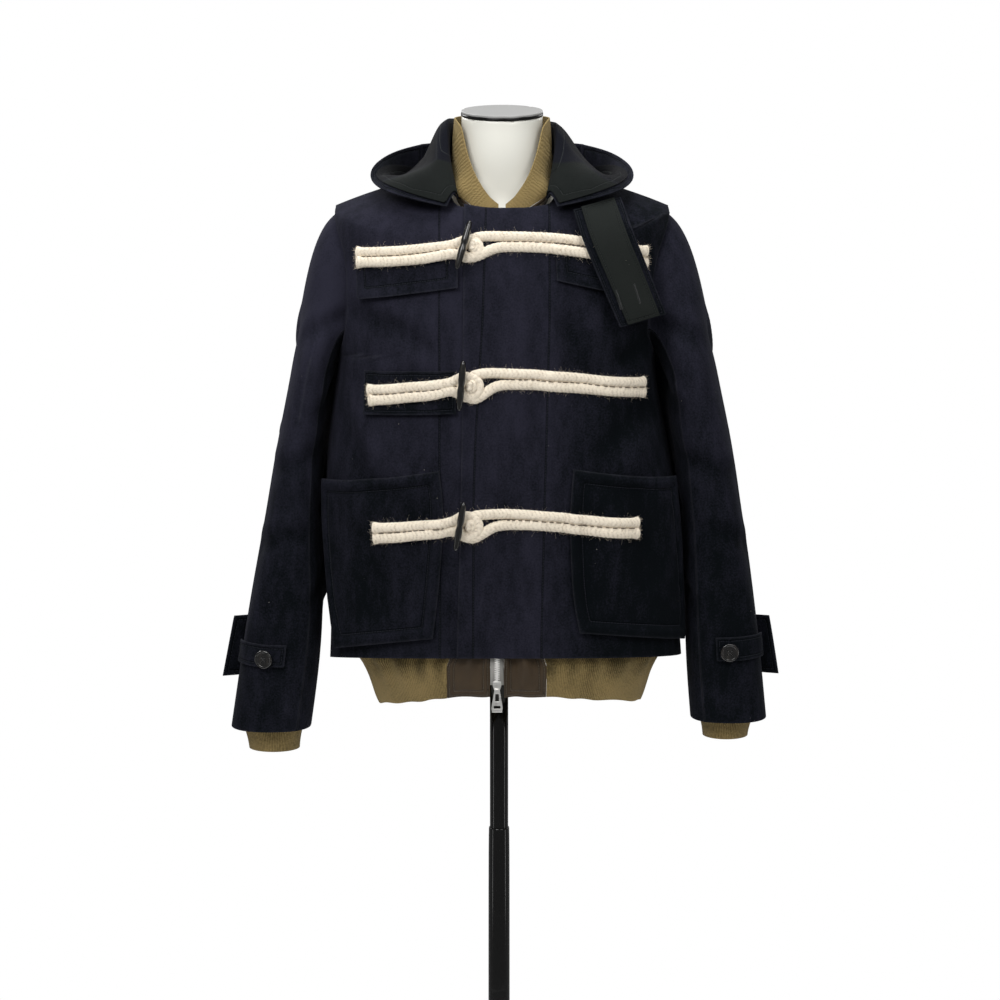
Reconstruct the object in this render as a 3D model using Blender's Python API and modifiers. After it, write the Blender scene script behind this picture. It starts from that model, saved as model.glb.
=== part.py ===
"""Wool blouson with rope and toggle closures, on a limbless dress form and its stand.

Metres, +Z up, the front faces -Y and +X is the wearer's left. The origin is on the
floor, on the axis of the stand. Every piece of cloth is a thin wall: an open surface
worked out from rings, given its thickness by Solidify towards the inside.
"""

import bisect
import math
from collections import namedtuple

import bmesh
import bpy
from mathutils import Matrix, Vector

# ---------------------------------------------------------------- driving dimensions

WOOL = 0.0024             # melton of the coat layer
TWILL = 0.0012            # hood lining and tab facing
RIB = 0.0020              # knitted collar, cuffs and hem
NYLON = 0.0010            # panels beside the zip
SEAM = 0.0003             # gap between two pieces at a seam
CLEAR = 0.0012            # gap under a piece that lies on a curved panel
EDGE = 0.0020             # narrow last strip of a panel, which keeps its edge true

GARMENT_X = 0.004         # the garment hangs this far to the wearer's left of the stand
UNDERLAP = -0.022         # how far the lower front reaches beneath the upper one
SHOULDER_V = 0.89         # level of the shoulder tip, from 0 at the hem to 1 at the neck
UNDERARM_V = 0.62
SIDE = {"left": 1.0, "right": -1.0}       # the wearer's left is at +X

ROPE_WIDE = 0.0112
ROPE_HIGH = 0.0078
ROPE_PITCH = 0.0124       # between the two strands of a doubled rope
LAYER = CLEAR + WOOL      # outer face of a patch above the panel that it lies on
ROPE_REST = 0.0036                         # from a rope's middle to what it lies on
ROPE_ON_PANEL = ROPE_REST
ROPE_ON_PATCH = LAYER + ROPE_REST
FLAP_LIFT = -0.0006                        # a chest flap's inner edge lies closer
FLAP_STAND_OFF = 0.0020                    # and its outer edge stands off
POCKET_LIFT = -0.0004
POCKET_STAND_OFF = 0.0058
ROPE_ON_FLAP = ROPE_ON_PATCH + 0.0002
ROPE_ON_POCKET = ROPE_ON_PATCH - 0.0003

FORM_TOP = 1.490
FORM_SIDES = 24
NECK_LIP = 0.012          # straight part under the neck's slanted top
NECK_X = 0.0545
NECK_Y = 0.0555
CAP_SLOPE = math.tan(math.radians(5))
NECK_DISCS = (("form_neck_band", 0.0004, 0.0034, 0.0552, "band"),
              ("form_neck_cap", 0.0038, 0.0068, 0.0545, "cap"))
TUBE_R = 0.0127
SLEEVE_TUBE_R = 0.0149
SLEEVE_TUBE_BORE = 0.0132
STEP_Z = 0.520            # top of the lower tube
FORM_BASE_Z = 0.757
BASE_R = 0.165
BASE_H = 0.014

Level = namedtuple("Level", "v side_z front_z back_z half shift front back square")
TORSO = [                 # outer face of the coat, one ring a row
    Level(0.00, 0.790, 0.787, 0.785, 0.2385, 0.005, 0.150, 0.140, 2.7),
    Level(0.10, 0.850, 0.850, 0.850, 0.2345, 0.004, 0.152, 0.138, 2.7),
    Level(0.22, 0.920, 0.920, 0.920, 0.2355, 0.001, 0.154, 0.135, 2.7),
    Level(0.33, 0.990, 0.990, 0.990, 0.2360, -0.002, 0.154, 0.132, 2.7),
    Level(0.44, 1.060, 1.060, 1.060, 0.2285, -0.006, 0.152, 0.130, 2.6),
    Level(0.54, 1.120, 1.120, 1.120, 0.2170, -0.008, 0.149, 0.130, 2.5),
    Level(0.62, 1.172, 1.175, 1.178, 0.2120, -0.007, 0.146, 0.131, 2.5),
    Level(0.72, 1.245, 1.238, 1.248, 0.2170, -0.005, 0.141, 0.132, 2.4),
    Level(0.82, 1.320, 1.297, 1.318, 0.2205, -0.001, 0.133, 0.126, 2.3),
    Level(0.89, 1.371, 1.336, 1.366, 0.2215, 0.000, 0.124, 0.112, 2.3),
    Level(0.95, 1.395, 1.357, 1.402, 0.1500, 0.000, 0.117, 0.094, 2.6),
    Level(1.00, 1.4165, 1.376, 1.426, 0.0770, 0.001, 0.108, 0.077, 3.2),
]

Fold = namedtuple("Fold", "angle low high width depth lean")
BODY_FOLDS = [            # soft troughs and ridges; angle 0 is +X, -90 the front centre
    Fold(-38, 0.05, 0.66, 7.0, -0.0050, 10),
    Fold(-146, 0.02, 0.60, 8.0, -0.0045, -12),
    Fold(-62, 0.00, 0.42, 9.0, 0.0030, 4),
    Fold(-118, 0.00, 0.40, 9.0, 0.0030, -5),
    Fold(28, 0.00, 0.74, 8.0, -0.0065, 8),
    Fold(52, 0.05, 0.70, 8.0, 0.0050, 6),
    Fold(74, 0.00, 0.58, 8.0, -0.0045, 2),
    Fold(104, 0.02, 0.66, 9.0, -0.0055, -3),
    Fold(128, 0.00, 0.72, 8.0, 0.0050, -6),
    Fold(151, 0.00, 0.66, 8.0, -0.0060, -8),
]

ARMHOLE_FRONT = 25.0      # widest angle of the armhole, before and behind the side line
ARMHOLE_BACK = 23.0
ARMHOLE_LOW = 0.40        # share of the armhole's height under its widest place

Cuff = namedtuple("Cuff", "z outer inner depth mid_y")
SLEEVES = {               # sleeve sections under the armhole, from the top down
    "right": [
        Cuff(1.145, 0.2840, 0.2260, 0.084, 0.004),
        Cuff(1.109, 0.2916, 0.2290, 0.083, 0.004),
        Cuff(1.028, 0.3078, 0.2380, 0.080, 0.002),
        Cuff(0.973, 0.3173, 0.2430, 0.077, 0.000),
        Cuff(0.904, 0.3301, 0.2405, 0.072, -0.003),
        Cuff(0.836, 0.3429, 0.2375, 0.066, -0.006),
        Cuff(0.731, 0.3591, 0.2479, 0.058, -0.010),
        Cuff(0.666, 0.3690, 0.2579, 0.053, -0.012),
    ],
    "left": [
        Cuff(1.145, 0.2900, 0.2180, 0.084, 0.000),
        Cuff(1.109, 0.2984, 0.2190, 0.083, -0.002),
        Cuff(1.028, 0.3146, 0.2270, 0.080, -0.004),
        Cuff(0.973, 0.3227, 0.2385, 0.077, -0.004),
        Cuff(0.904, 0.3341, 0.2410, 0.072, -0.006),
        Cuff(0.836, 0.3429, 0.2440, 0.066, -0.008),
        Cuff(0.741, 0.3544, 0.2484, 0.058, -0.012),
        Cuff(0.679, 0.3600, 0.2545, 0.053, -0.014),
    ],
}
SLEEVE_FOLDS = [          # level is a share of the sleeve's length, angle 0 is outside
    Fold(-150, 0.10, 0.30, 40, -0.0060, 60),
    Fold(-60, 0.22, 0.42, 45, -0.0035, 50),
    Fold(120, 0.16, 0.38, 45, -0.0055, -60),
    Fold(-120, 0.40, 0.58, 45, -0.0045, 60),
    Fold(60, 0.46, 0.66, 45, -0.0045, -50),
    Fold(170, 0.52, 0.74, 50, -0.0040, 40),
]
SLEEVE_SEAM = 128.0       # degrees from the outside, where upper and under sleeve meet

Hood = namedtuple("Hood", "turn crest_r crest_z mid_r mid_z low_r low_z bag_r bag_z rim_r rim_z")
HOOD = [                  # sections round the neck, from the front end past the back centre
    Hood(237, 0.1130, 1.3900, 0.1160, 1.3930, 0.1200, 1.3900, 0.1260, 1.3850, 0.1330, 1.3770),
    Hood(226, 0.0960, 1.4120, 0.1020, 1.4160, 0.1200, 1.4100, 0.1420, 1.3980, 0.1600, 1.3850),
    Hood(212, 0.0835, 1.4290, 0.0910, 1.4320, 0.1180, 1.4240, 0.1480, 1.4110, 0.1720, 1.3930),
    Hood(197, 0.0775, 1.4550, 0.0860, 1.4480, 0.1120, 1.4200, 0.1480, 1.4140, 0.1770, 1.4000),
    Hood(180, 0.0726, 1.4770, 0.0870, 1.4700, 0.1140, 1.4200, 0.1490, 1.4060, 0.1775, 1.4130),
    Hood(160, 0.0726, 1.4780, 0.0890, 1.4670, 0.1200, 1.4240, 0.1560, 1.4000, 0.1770, 1.4270),
    Hood(136, 0.0765, 1.4780, 0.0980, 1.4580, 0.1440, 1.4000, 0.1850, 1.3640, 0.1830, 1.4400),
    Hood(112, 0.0790, 1.4770, 0.1120, 1.4250, 0.1570, 1.2920, 0.1990, 1.2900, 0.1900, 1.4450),
    Hood(90, 0.0800, 1.4770, 0.1180, 1.4150, 0.1580, 1.2700, 0.2030, 1.2740, 0.1930, 1.4460),
    Hood(68, 0.0790, 1.4770, 0.1120, 1.4250, 0.1570, 1.2920, 0.1990, 1.2900, 0.1900, 1.4450),
]
HOOD_STRIP = 36.0         # half angle of the middle panel, about the back centre

Ring = namedtuple("Ring", "z half front back")
COLLAR = [
    Ring(1.330, 0.0680, 0.1010, 0.0700),
    Ring(1.370, 0.0680, 0.0990, 0.0700),
    Ring(1.400, 0.0685, 0.0890, 0.0700),
    Ring(1.430, 0.0682, 0.0780, 0.0695),
    Ring(1.455, 0.0675, 0.0700, 0.0685),
    Ring(1.475, 0.0660, 0.0670, 0.0675),
    Ring(1.492, 0.0640, 0.0655, 0.0660),
]
Neckline = namedtuple("Neckline", "turn low high")
COLLAR_EDGES = [          # lower and upper edge of the rib, turning from the front centre
    Neckline(4, 1.3670, 1.3800),
    Neckline(12, 1.3675, 1.3870),
    Neckline(24, 1.3710, 1.4030),
    Neckline(40, 1.3790, 1.4330),
    Neckline(56, 1.3920, 1.4770),
    Neckline(74, 1.4110, 1.4860),
    Neckline(92, 1.4240, 1.4870),
    Neckline(180, 1.4330, 1.4890),
]
COLLAR_TURNS = (4, 6, 13, 15, 24, 34, 44, 54, 56, 70, 88, 106, 126, 150, 180)
NYLON_TURNS = (13, 15, 24, 34, 44, 54, 56)

HEM_RIB = [
    Level(0.00, 0.704, 0.730, 0.704, 0.1750, 0.010, 0.135, 0.112, 2.5),
    Level(0.12, 0.713, 0.736, 0.713, 0.1795, 0.010, 0.138, 0.116, 2.5),
    Level(0.40, 0.744, 0.754, 0.742, 0.1920, 0.010, 0.141, 0.124, 2.5),
    Level(0.70, 0.768, 0.773, 0.768, 0.2070, 0.008, 0.142, 0.131, 2.6),
    Level(1.00, 0.796, 0.796, 0.796, 0.2230, 0.005, 0.142, 0.132, 2.7),
]
HEM_TUCK_V = 0.055        # how high the rib hem and zip reach up inside the coat
ZIP_X = -0.0066           # zip centre line, on the garment
ZIP_HALF = 0.0090
ZIP_PROFILE = ((-1, 0), (-0.42, 0), (-0.34, 0.0014), (0.34, 0.0014), (0.42, 0), (1, 0))
ZIP_WALL = 0.0012
SLIDER_SHARE = 0.28       # the slider's height on the hem's rows
SLIDER_THICK = 0.0030
SLIDER_OUT = 0.0046       # from the hem's face to the slider's middle
SLIDER_UP = 0.002
SLIDER_OUTLINE = ((-0.0052, 0.0052), (0.0052, 0.0052), (0.0058, 0.0), (0.0040, -0.0062),
                  (-0.0040, -0.0062), (-0.0058, 0.0))
HINGE_OUT = 0.0034        # from the slider's middle to the pull's axis
HINGE_DOWN = 0.004
PULL_THICK = 0.0020
PULL_OUTLINE = ((-0.0034, 0.0012), (0.0034, 0.0012), (0.0040, -0.004), (0.0075, -0.024),
                (0.0066, -0.0300), (-0.0066, -0.0300), (-0.0075, -0.024), (-0.0040, -0.004))
PULL_HOLES = (((-0.0022, -0.0050), (-0.0028, -0.0150), (0.0028, -0.0150), (0.0022, -0.0050)),
              ((-0.0045, -0.0210), (-0.0045, -0.0250), (0.0045, -0.0250), (0.0045, -0.0210)))
NYLON_LEFT_X = 0.0585     # outer edges of the nylon hem panels
NYLON_RIGHT_X = -0.0730

PatchRow = namedtuple("PatchRow", "z x_in x_out")
POCKETS = {
    "right": [PatchRow(0.8135, -0.0910, -0.2160), PatchRow(0.8700, -0.0840, -0.2240),
              PatchRow(0.9800, -0.0765, -0.2320), PatchRow(1.0350, -0.0820, -0.2320)],
    "left": [PatchRow(0.8210, 0.1020, 0.2370), PatchRow(0.8700, 0.0930, 0.2360),
             PatchRow(0.9800, 0.0890, 0.2280), PatchRow(1.0370, 0.0930, 0.2230)],
}
POCKET_DROP = {"right": (0.012, 0.024), "left": (0.010, 0.022)}   # at the outer side
CHEST_FLAPS = {
    "right": [PatchRow(1.2740, -0.0575, -0.1860), PatchRow(1.3240, -0.0575, -0.1905)],
    "left": [PatchRow(1.2830, 0.0710, 0.1640), PatchRow(1.3300, 0.0690, 0.1640)],
}
FLAP_DROP = {"right": (0.019, 0.012), "left": (0.022, 0.012)}
MIDDLE_PATCH = [PatchRow(1.1100, -0.0600, -0.1790), PatchRow(1.1660, -0.0600, -0.1790)]

Strand = namedtuple("Strand", "out_x out_z in_x in_z lift spread")
ROPE_END_RISE = 0.0030    # of a rope's outer end, over a patch that stands off
LOOP_LENGTH = 0.045       # of a rope's inner end, which lies as high as a patch
ROPES = {
    "rope_top_right": Strand(-0.1860, 1.3085, -0.0660, 1.3215, ROPE_ON_FLAP, 0.0),
    "rope_top_left": Strand(0.1900, 1.3035, -0.0410, 1.3275, ROPE_ON_FLAP, 0.005),
    "rope_middle_right": Strand(-0.1765, 1.1290, -0.0660, 1.1450, ROPE_ON_PATCH, 0.0),
    "rope_middle_left": Strand(0.1885, 1.1340, -0.0410, 1.1500, ROPE_ON_PANEL, 0.005),
    "rope_low_right": Strand(-0.1680, 0.9500, -0.0680, 0.9650, ROPE_ON_POCKET, 0.0),
    "rope_low_left": Strand(0.1790, 0.9520, -0.0430, 0.9680, ROPE_ON_POCKET, 0.005),
}
Toggle = namedtuple("Toggle", "top_x top_z low_x low_z")
TOGGLES = {
    "toggle_top": Toggle(-0.0400, 1.3570, -0.0580, 1.2960),
    "toggle_middle": Toggle(-0.0490, 1.1820, -0.0550, 1.1140),
    "toggle_low": Toggle(-0.0490, 0.9960, -0.0600, 0.9330),
}
TOGGLE_R = 0.0052
TOGGLE_LIFT = ROPE_ON_PATCH + ROPE_HIGH * 0.433 + TOGGLE_R + 0.0002
TOGGLE_END_R = 0.0022

TAB_TOP = ((0.0846, 1.3770), (0.1476, 1.3860))      # x and z of its corners
TAB_LOW = ((0.1468, 1.2204), (0.2060, 1.2346))
TAB_LIFT = ROPE_ON_PATCH + ROPE_HIGH / 2 + WOOL + 0.0024
TAB_BEND_X = 0.165
TAB_BEND_SLOPE = 0.45
TAB_BORDER = 0.15         # share of the tab's width outside its facing, on each side

CUFF_PATCH = {"left": (0.766, 0.798), "right": (0.757, 0.787)}
CUFF_STRAP = {"left": (0.733, 0.812), "right": (0.729, 0.811)}
CUFF_PATCH_TURNS = {"left": (-18, -20, -34, -49, -64, -78, -92, -98, -100),
                    "right": (-14, -16, -30, -44, -58, -72, -86, -94, -96)}
BUTTON_TURN = {"left": -85, "right": -72}
BUTTON_REST = 0.0005
BUTTON_R = 0.0125
BUTTON_H = 0.0042

FORM = [                  # the torso under the shoulders, from the bottom up
    Level(0.0, 0.757, 0.757, 0.757, 0.118, 0.0, 0.080, 0.078, 2.2),
    Level(0.1, 0.765, 0.765, 0.765, 0.138, 0.0, 0.094, 0.090, 2.2),
    Level(0.2, 0.800, 0.800, 0.800, 0.155, 0.0, 0.104, 0.100, 2.2),
    Level(0.3, 0.870, 0.870, 0.870, 0.162, 0.0, 0.108, 0.104, 2.2),
    Level(0.4, 0.970, 0.970, 0.970, 0.142, 0.0, 0.098, 0.086, 2.2),
    Level(0.5, 1.060, 1.060, 1.060, 0.143, 0.0, 0.101, 0.086, 2.2),
    Level(0.6, 1.150, 1.150, 1.150, 0.158, 0.0, 0.112, 0.096, 2.2),
    Level(0.7, 1.230, 1.225, 1.230, 0.170, 0.0, 0.114, 0.104, 2.2),
    Level(0.8, 1.300, 1.285, 1.300, 0.178, 0.0, 0.106, 0.098, 2.2),
    Level(0.9, 1.348, 1.318, 1.344, 0.180, 0.0, 0.095, 0.088, 2.2),
]
Shoulder = namedtuple("Shoulder", "v front_z back_z front back")
FORM_SHOULDER = [         # its ridge lies against the coat's shoulder at these levels
    Shoulder(0.925, 1.342, 1.360, 0.080, 0.080),
    Shoulder(0.945, 1.360, 1.378, 0.064, 0.073),
    Shoulder(0.965, 1.378, 1.394, 0.052, 0.066),
]
FORM_NECK = [
    Ring(1.400, 0.0620, 0.0530, 0.0600),
    Ring(1.418, 0.0570, 0.0550, 0.0575),
    Ring(1.440, 0.0550, 0.0570, 0.0560),
    Ring(1.465, 0.0546, 0.0560, 0.0555),
]
FORM_CLEAR = 0.0008

# ---------------------------------------------------------------------- small helpers


def smooth_step(share):
    """0 to 1 with level ends."""
    share = min(max(share, 0.0), 1.0)
    return share * share * (3 - 2 * share)


def row_at(table, at):
    """A row of a table at any value of its first column, on a smooth curve."""
    keys = [row[0] for row in table]
    if keys[0] > keys[-1]:
        table, keys = table[::-1], keys[::-1]
    at = min(max(at, keys[0]), keys[-1])
    i = min(max(bisect.bisect_right(keys, at) - 1, 0), len(keys) - 2)
    before, after = max(i - 1, 0), min(i + 2, len(keys) - 1)
    span = keys[i + 1] - keys[i]
    t = (at - keys[i]) / span
    values = []
    for p0, p1, p2, p3 in zip(table[before], table[i], table[i + 1], table[after]):
        m1 = (p2 - p0) / (keys[i + 1] - keys[before]) * span
        m2 = (p3 - p1) / (keys[after] - keys[i]) * span
        values.append((2 * t**3 - 3 * t**2 + 1) * p1 + (t**3 - 2 * t**2 + t) * m1
                      + (3 * t**2 - 2 * t**3) * p2 + (t**3 - t**2) * m2)
    return type(table[0])(*values)


def power(value, exponent):
    """A signed power, for superellipses."""
    return math.copysign(abs(value) ** exponent, value)


def shares(count, edge=0.0):
    """Even shares from 0 to 1, with a narrow strip of the given share at both ends."""
    inner = [edge + (1 - 2 * edge) * i / count for i in range(count + 1)]
    return [0.0] + inner + [1.0] if edge else inner


Knot = namedtuple("Knot", "t x y z")


def curve_through(points, share):
    """A point on a smooth curve through a few points, evenly numbered."""
    table = [(i / (len(points) - 1), *p) for i, p in enumerate(points)]
    knot = row_at([Knot(*row) for row in table], share)
    return Vector((knot.x, knot.y, knot.z))


# ------------------------------------------------------------------ scene and objects


def clear_scene():
    """Remove what is in the file."""
    for obj in list(bpy.data.objects):
        bpy.data.objects.remove(obj, do_unlink=True)


def collection(name):
    """A new collection in the scene."""
    group = bpy.data.collections.new(name)
    bpy.context.scene.collection.children.link(group)
    return group


def material(name, colour, roughness, metallic=0.0):
    """A Principled material."""
    new = bpy.data.materials.new(name)
    new.use_nodes = True
    shader = new.node_tree.nodes["Principled BSDF"]
    shader.inputs["Base Color"].default_value = (*colour, 1.0)
    shader.inputs["Roughness"].default_value = roughness
    shader.inputs["Metallic"].default_value = metallic
    return new


def link(name, mesh, group, finish, shift_x=GARMENT_X, smooth_angle=50):
    """An object for a mesh, in its collection and with its material."""
    mesh.materials.append(finish)
    mesh.shade_smooth()
    mesh.set_sharp_from_angle(angle=math.radians(smooth_angle))
    obj = bpy.data.objects.new(name, mesh)
    obj.location.x = shift_x
    group.objects.link(obj)
    return obj


def sheet(name, rows, wall, group, finish, closed=False, flip=False, split=False):
    """A cloth wall: rows of points make an open surface, Solidify gives its thickness.

    The rows' points run so that the surface's outer side faces out; flip turns it.
    split cuts every quad along the same diagonal, for sheets that lie close on others.
    """
    mesh_data = bmesh.new()
    grid = [[mesh_data.verts.new(p) for p in row] for row in rows]
    for low, high in zip(grid, grid[1:]):
        pairs = list(zip(low, low[1:], high[1:], high))
        if closed:
            pairs.append((low[-1], low[0], high[0], high[-1]))
        for a, b, c, d in pairs:
            if split:
                mesh_data.faces.new((a, b, c))
                mesh_data.faces.new((a, c, d))
            else:
                mesh_data.faces.new((d, c, b, a) if flip else (a, b, c, d))
    mesh = bpy.data.meshes.new(name)
    mesh_data.to_mesh(mesh)
    mesh_data.free()
    obj = link(name, mesh, group, finish)
    thickness = obj.modifiers.new("wall", "SOLIDIFY")
    thickness.thickness = wall
    thickness.offset = -1.0
    return obj


def closed_loft(name, rings, group, finish, shift_x=0.0):
    """A solid through closed rings of points, with flat ends."""
    shape = bmesh.new()
    loops = [[shape.verts.new(p) for p in ring] for ring in rings]
    for low, high in zip(loops, loops[1:]):
        for i in range(len(low)):
            j = (i + 1) % len(low)
            shape.faces.new((low[i], low[j], high[j], high[i]))
    shape.faces.new(loops[0][::-1])
    shape.faces.new(loops[-1])
    mesh = bpy.data.meshes.new(name)
    shape.to_mesh(mesh)
    shape.free()
    return link(name, mesh, group, finish, shift_x)


def turned(name, profile, steps, group, finish, place=None):
    """A turned solid from a closed profile of (radius, height), outer side downwards."""
    shape = bmesh.new()
    verts = [shape.verts.new((r, 0.0, z)) for r, z in profile]
    for a, b in zip(verts, verts[1:]):
        shape.edges.new((a, b))
    if profile[0][0] > 0.0:
        shape.edges.new((verts[-1], verts[0]))
    mesh = bpy.data.meshes.new(name)
    shape.to_mesh(mesh)
    shape.free()
    obj = link(name, mesh, group, finish, 0.0)
    spin = obj.modifiers.new("turn", "SCREW")
    spin.steps = steps
    spin.render_steps = steps
    spin.use_merge_vertices = True
    spin.merge_threshold = 0.00001
    spin.use_normal_calculate = False
    if place is not None:
        obj.matrix_world = place
    return obj


# ------------------------------------------------------------------ the coat's surface


def section(level, angle):
    """The point of a ring at an angle in degrees: 0 is +X, -90 the front, 90 the back."""
    c, s = math.cos(math.radians(angle)), math.sin(math.radians(angle))
    reach = abs(s) ** (2 / level.square)
    x = level.shift + level.half * power(c, 2 / level.square)
    y = (level.back if s > 0 else -level.front) * reach
    far_z = level.back_z if s > 0 else level.front_z
    z = far_z + (level.side_z - far_z) * (1 - reach ** 1.4)
    return Vector((x, y, z))


def fold_depth(folds, angle, level):
    """How far the folds push the cloth out at an angle and a level."""
    total = 0.0
    for fold in folds:
        along = (level - fold.low) / (fold.high - fold.low)
        if 0 < along < 1:
            off = (angle - fold.angle - fold.lean * (along - 0.5) + 180) % 360 - 180
            total += fold.depth * math.sin(math.pi * along) ** 1.5 * math.exp(-(off / fold.width) ** 2)
    return total


def coat_skin(angle, v):
    """The coat's outer face without its offset."""
    level = row_at(TORSO, v)
    point = section(level, angle)
    out = Vector((point.x - level.shift, point.y, 0)).normalized()
    return point + out * fold_depth(BODY_FOLDS, angle, v)


def coat_normal(angle, v):
    """The outward normal of the coat."""
    step_v = 0.004
    low, high = max(v - step_v, 0.0), min(v + step_v, 1.0)
    across = coat_skin(angle + 0.8, v) - coat_skin(angle - 0.8, v)
    up = coat_skin(angle, high) - coat_skin(angle, low)
    return across.cross(up).normalized()


def coat(angle, v, out=0.0):
    """A point of the coat, moved out along its normal."""
    return coat_skin(angle, v) + coat_normal(angle, v) * out


def even_angles(v, start, end, parts):
    """Angles that share out a stretch of a ring by length."""
    count = 72
    angles = [start + (end - start) * i / count for i in range(count + 1)]
    level = row_at(TORSO, v)
    lengths = [0.0]
    for a, b in zip(angles, angles[1:]):
        lengths.append(lengths[-1] + (section(level, b) - section(level, a)).length)
    found = []
    for part in parts:
        target = part * lengths[-1]
        i = min(max(bisect.bisect_right(lengths, target) - 1, 0), count - 1)
        share = (target - lengths[i]) / (lengths[i + 1] - lengths[i])
        found.append(angles[i] + (angles[i + 1] - angles[i]) * share)
    return found


def gap_angle(v, angle, gap=SEAM / 2):
    """The angle that a small distance takes up on the ring."""
    level = row_at(TORSO, v)
    length = (section(level, angle + 1.0) - section(level, angle)).length
    return gap / max(length, 1e-6)


def angle_at_x(v, x):
    """The front's angle where the ring crosses an x."""
    level = row_at(TORSO, v)
    share = min(abs(x - level.shift) / level.half, 1.0)
    from_side = math.degrees(math.acos(share ** (level.square / 2)))
    return -from_side if x > level.shift else from_side - 180.0


def front_at(x, z, out=0.0):
    """The front's point at an x and a height, moved out."""
    low, high = 0.0, 1.0
    for _ in range(26):
        v = (low + high) / 2
        if coat_skin(angle_at_x(v, x), v).z < z:
            low = v
        else:
            high = v
    return coat(angle_at_x(v, x), v, out)


def armhole_share(v):
    """The armhole's width at a level, from 0 to 1."""
    along = (v - UNDERARM_V) / (SHOULDER_V - UNDERARM_V)
    if along <= 0 or along >= 1:
        return 0.0
    if along < ARMHOLE_LOW:
        return math.sqrt(1 - (1 - along / ARMHOLE_LOW) ** 2)
    return math.sqrt(1 - ((along - ARMHOLE_LOW) / (1 - ARMHOLE_LOW)) ** 2.4)


def panel_levels():
    """Levels of a body panel's rows: closer together round the ends of the armhole."""
    return [0.0, 0.004, 0.11, 0.22, 0.33, 0.44, 0.54, 0.60, UNDERARM_V, 0.634, 0.665,
            0.71, 0.765, 0.82, 0.862, 0.882, SHOULDER_V, 0.925, 0.96, 0.996, 1.0]


# ---------------------------------------------------------------------- body of the coat


def overlap_x(v):
    """Where the upper front's edge runs at a level."""
    return -0.0500 - 0.0100 * (1 - v) ** 2


def make_fronts(group, wool):
    """Both fronts: the left one lies over the right one at the centre."""
    sink = -(WOOL + 0.0009)
    uppers, lowers = [], []
    for v in panel_levels():
        reach = max(ARMHOLE_FRONT * armhole_share(v), gap_angle(v, 0.0))
        edge_x = overlap_x(v)
        ends = (angle_at_x(v, edge_x), -reach)
        uppers.append([coat(angle, v) for angle in even_angles(v, *ends, shares(8, 0.010))])
        ends = (-180.0 + reach, angle_at_x(v, edge_x - 0.018))
        row = [coat(angle, v) for angle in even_angles(v, *ends, shares(6, 0.014)[:-1])]
        for off, share in ((-0.011, 0.5), (-0.004, 1.0), (0.010, 1.0)):
            row.append(coat(angle_at_x(v, edge_x + off), v, sink * share))
        row.append(coat(angle_at_x(v, UNDERLAP - EDGE), v, sink))
        row.append(coat(angle_at_x(v, UNDERLAP), v, sink))
        lowers.append(row)
    sheet("front_left", uppers, WOOL, group, wool)
    sheet("front_right", lowers, WOOL, group, wool)


def make_back(group, wool):
    """The back, in one piece from side seam to side seam."""
    rows = []
    for v in panel_levels():
        start = max(ARMHOLE_BACK * armhole_share(v), gap_angle(v, 0.0))
        rows.append([coat(a, v) for a in even_angles(v, start, 180.0 - start, shares(14, 0.006))])
    sheet("back", rows, WOOL, group, wool)


# ------------------------------------------------------------------------------- sleeves


ARMHOLE_STEPS = 5         # points of the armhole's line between two rows of the panels


def armhole_lines(side):
    """The armhole's front and back lines, from the shoulder tip to the underarm.

    Each is a list of (length so far, angle, level).
    """
    lines = {}
    for name, width, sense in (("front", ARMHOLE_FRONT, -1.0), ("back", ARMHOLE_BACK, 1.0)):
        line, length, last = [], 0.0, None
        levels = [v for v in panel_levels() if UNDERARM_V <= v <= SHOULDER_V][::-1]
        for high, low in zip(levels, levels[1:]):
            for i in range(ARMHOLE_STEPS + (low == UNDERARM_V)):
                t = i / ARMHOLE_STEPS
                v = high + (low - high) * t
                angle = sense * width * (armhole_share(high) * (1 - t) + armhole_share(low) * t)
                angle = angle if side > 0 else sense * 180.0 - angle
                point = coat(angle, v)
                length += (point - last).length if last else 0.0
                line.append((length, angle, v))
                last = point
        lines[name] = line
    return lines


ARMHOLES = {name: armhole_lines(side) for name, side in SIDE.items()}


def armhole_at(name, turn):
    """The armhole's point, the coat's normal and the way into the hole, at a turn."""
    line = ARMHOLES[name]["front" if turn <= 0 else "back"]
    target = abs(turn) / 180.0 * line[-1][0]
    i = min(max(bisect.bisect_right([row[0] for row in line], target) - 1, 0), len(line) - 2)
    share = (target - line[i][0]) / (line[i + 1][0] - line[i][0])
    angle = line[i][1] + (line[i + 1][1] - line[i][1]) * share
    v = line[i][2] + (line[i + 1][2] - line[i][2]) * share
    facing = coat_normal(angle, v)
    along = coat(line[i + 1][1], line[i + 1][2]) - coat(line[i][1], line[i][2])
    into = facing.cross(along).normalized()
    middle = Vector((SIDE[name] * 0.21, 0.0, 1.27))
    if into.dot(middle - coat(angle, v)) < 0:
        into = -into
    return coat(angle, v), facing, into


def side_reach(side, z):
    """How far the coat's side reaches at a height."""
    low, high = 0.0, UNDERARM_V
    for _ in range(20):
        v = (low + high) / 2
        if row_at(TORSO, v).side_z < z:
            low = v
        else:
            high = v
    level = row_at(TORSO, v)
    return level.half + side * level.shift


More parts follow.
